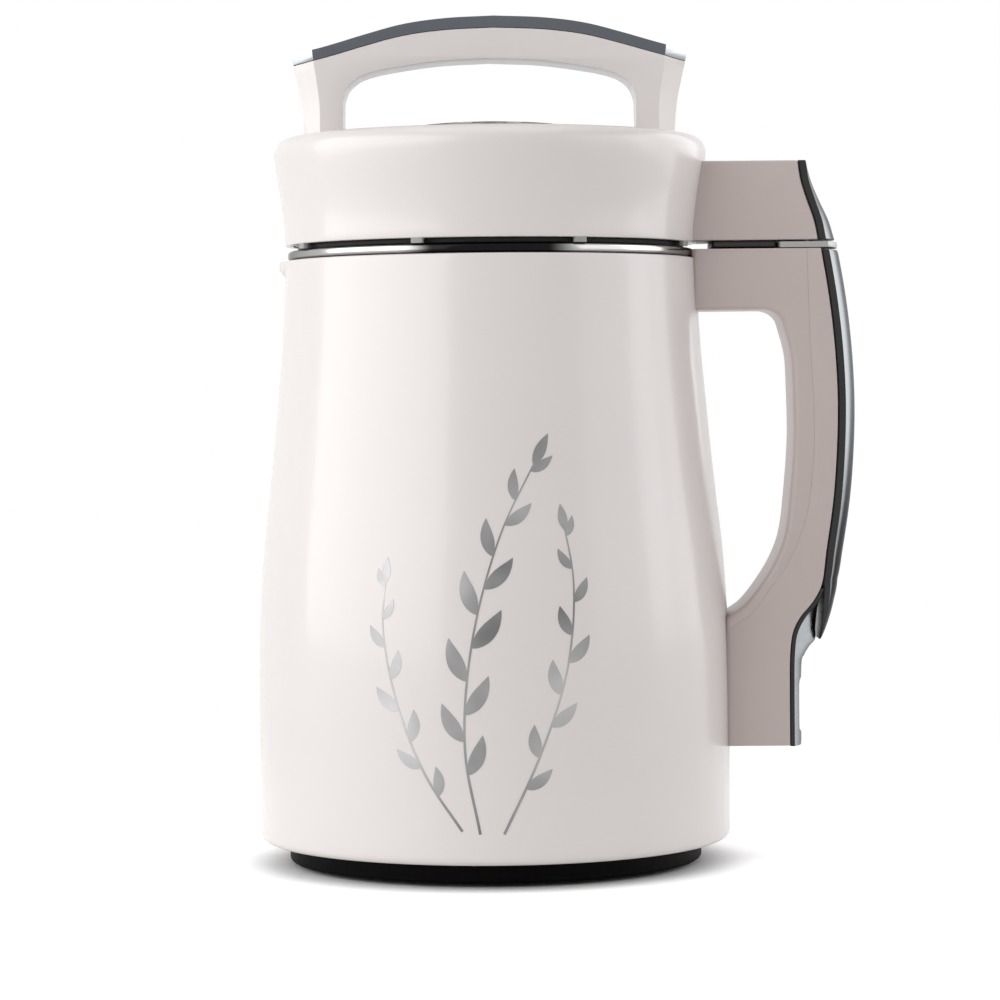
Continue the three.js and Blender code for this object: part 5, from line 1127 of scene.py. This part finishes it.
# Way points from the root up, number of leaves, a leaf's length and width
SPRAYS = [
    ([(-5, 20), (-10, 50), (-7, 88), (3, 124), (17, 151)], 11, 17, 5.8),
    ([(3, 20), (15, 46), (25, 76), (28, 106), (25, 128)], 9, 13, 4.8),
    ([(-11, 21), (-24, 41), (-34, 66), (-39, 91), (-38, 110)], 8, 12, 4.4),
]
STEM_POINTS, STEM_WIDE, STEM_THIN = 60, 0.95, 0.5
FIRST_LEAF, LEAF_SPAN = 0.16, 0.8  # shares of the stem
LEAF_LEAN, LEAF_BEND = 42, 0.5
TIP_SIZE = 0.72


def make_print():
    """Three leafy sprays that lean apart, with a pointed leaf to each side in turn and one on top."""
    shapes = []
    for way, leaves, length, width in SPRAYS:
        line = resample(spline(way, 8), STEM_POINTS)
        shapes.append(stem_shape(line, STEM_WIDE, STEM_THIN))
        for k in range(leaves):
            s = FIRST_LEAF + LEAF_SPAN * k / (leaves - 1)
            i = min(STEM_POINTS - 2, int(s * (STEM_POINTS - 1)))
            (u, z), (nu, nz) = line[i], line[i + 1]
            heading = math.degrees(math.atan2(nu - u, nz - z))
            size = 1 - 0.45 * abs(s - 0.5) * 2 * (0.4 if s < 0.5 else 1)
            side = -1 if k % 2 else 1
            shapes.append(leaf_shape(
                (u, z), heading + side * LEAF_LEAN, length * size, width * size, -side * LEAF_BEND,
            ))
        (u, z), (bu, bz) = line[-1], line[-3]
        heading = math.degrees(math.atan2(u - bu, z - bz))
        shapes.append(leaf_shape((bu, bz), heading, length * TIP_SIZE, width * TIP_SIZE))
    dress(on_front("front_print", shapes), print_silver, "jug", angle=60)


make_jacket()
make_cup()
make_base()
make_handle()
make_handle_trim()
make_bezel()
make_top_plate()
make_inlet()
make_coupler_socket()
make_head()
make_panel()
make_marks()
make_carry_handle()
make_coupler()
make_plug()
make_drum()
make_guard()
make_print()

paint(black_plastic, "thermostat", "fan")
paint(rubber, "shaft_seal")
paint(steel, "blade", "blade_nut", "shaft", "heater_tube")
paint(screw_steel, "handle_screw_top", "handle_screw_bottom", "carry_screw_left", "carry_screw_right")
paint(screw_steel, "bearing_top", "bearing_bottom")
paint(aluminium, "heater_plate", "motor_bracket_top", "motor_bracket_bottom")
paint(iron, "motor_stator", "rotor")
paint(copper, "commutator")
paint(carbon, "brush_left", "brush_right")
paint(board_green, "power_board", "control_board")
paint(sleeve, "lead_coupler", "lead_mains")

for name in ("blade", "blade_nut"):
    soften(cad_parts[name], 0.25, 2, 40)


# Floor, light and backdrop

FLOOR_TONE, FLOOR_LIFT, WORLD_LIGHT = 0.84, 0.55, 0.2
LIFT_REACH = (0.072, 0.1)  # metres from the jug's axis: the shadow is lifted between them
WHITE_REACH = (0.22, 0.55)  # metres from the middle: the floor turns white between them


def seen_plainly(tree):
    """1 for rays that come from the camera, a gloss or a glass, else 0."""
    path = tree.add("LightPath")
    total = path.outputs["Is Camera Ray"]
    for name in ("Is Glossy Ray", "Is Transmission Ray"):
        total = tree.maths("MAXIMUM", total, path.outputs[name])
    return total


def make_floor():
    """A pale floor that is white where it is seen, and keeps the shadow near the object."""
    bpy.ops.mesh.primitive_plane_add(size=24, location=(0, 0, 0))
    floor = bpy.context.object
    floor.name = "floor"
    material = bpy.data.materials.new("floor_pale")
    tree = Tree(material)
    noise = tree.add("TexNoise", {"Scale": 30})
    bump = tree.add("Bump", {"Height": noise.outputs["Fac"], "Distance": 0.0001})
    plain = tree.add("BsdfPrincipled", {
        "Base Color": (FLOOR_TONE, FLOOR_TONE, FLOOR_TONE, 1), "Roughness": 0.7,
        "Specular IOR Level": 0.1, "Normal": bump.outputs["Normal"],
    }).outputs[0]
    where = tree.add("TexCoord").outputs["Object"]
    from_axis = tree.add("VectorMath", {0: where, 1: (AXIS * MM, 0, 0)}, "DISTANCE").outputs["Value"]
    from_middle = tree.add("VectorMath", {0: where}, "LENGTH").outputs["Value"]
    lift = tree.add("Emission", {"Strength": tree.passage(from_axis, *LIFT_REACH, FLOOR_LIFT)})
    near = tree.add("AddShader", {0: plain, 1: lift.outputs[0]})
    far = tree.add("Emission")
    share = tree.passage(from_middle, *WHITE_REACH)
    shown = tree.add("MixShader", {0: share, 1: near.outputs[0], 2: far.outputs[0]})
    either = tree.add("MixShader", {0: seen_plainly(tree), 1: plain, 2: shown.outputs[0]})
    tree.add("OutputMaterial", {0: either.outputs[0]})
    floor.data.materials.append(material)


def make_world():
    world = bpy.data.worlds.new("studio")
    bpy.context.scene.world = world
    tree = Tree(world)
    lit, seen = [
        tree.add("Background", {"Color": (level, level, level, 1)}).outputs[0] for level in (WORLD_LIGHT, 1)
    ]
    mix = tree.add("MixShader", {0: seen_plainly(tree), 1: lit, 2: seen})
    tree.add("OutputWorld", {0: mix.outputs[0]})


def lamp(name, azimuth, elevation, distance, size, power):
    """A soft lamp. Azimuth 0 is in front, and grows towards the side handle."""
    a, e = math.radians(azimuth), math.radians(elevation)
    aim = Vector((0, 0, 0.15))
    way = Vector((math.sin(a) * math.cos(e), -math.cos(a) * math.cos(e), math.sin(e)))
    data = bpy.data.lights.new(name, "AREA")
    data.shape = "RECTANGLE"
    data.size, data.size_y = size
    data.energy = power
    light = linked(bpy.data.objects.new(name, data))
    light.location = aim + way * distance
    light.rotation_euler = (-way).to_track_quat("-Z", "Y").to_euler()


make_floor()
make_world()
lamp("key_left", -64, 18, 2.3, (3.9, 2.4), 62)
lamp("card_right", 112, 14, 2.1, (2.6, 2.2), 24)
lamp("fill_right", 72, 14, 2.3, (2.0, 2.2), 12)
lamp("top", 0, 84, 1.9, (1.6, 1.6), 8)

bpy.context.scene.view_settings.view_transform = "Standard"
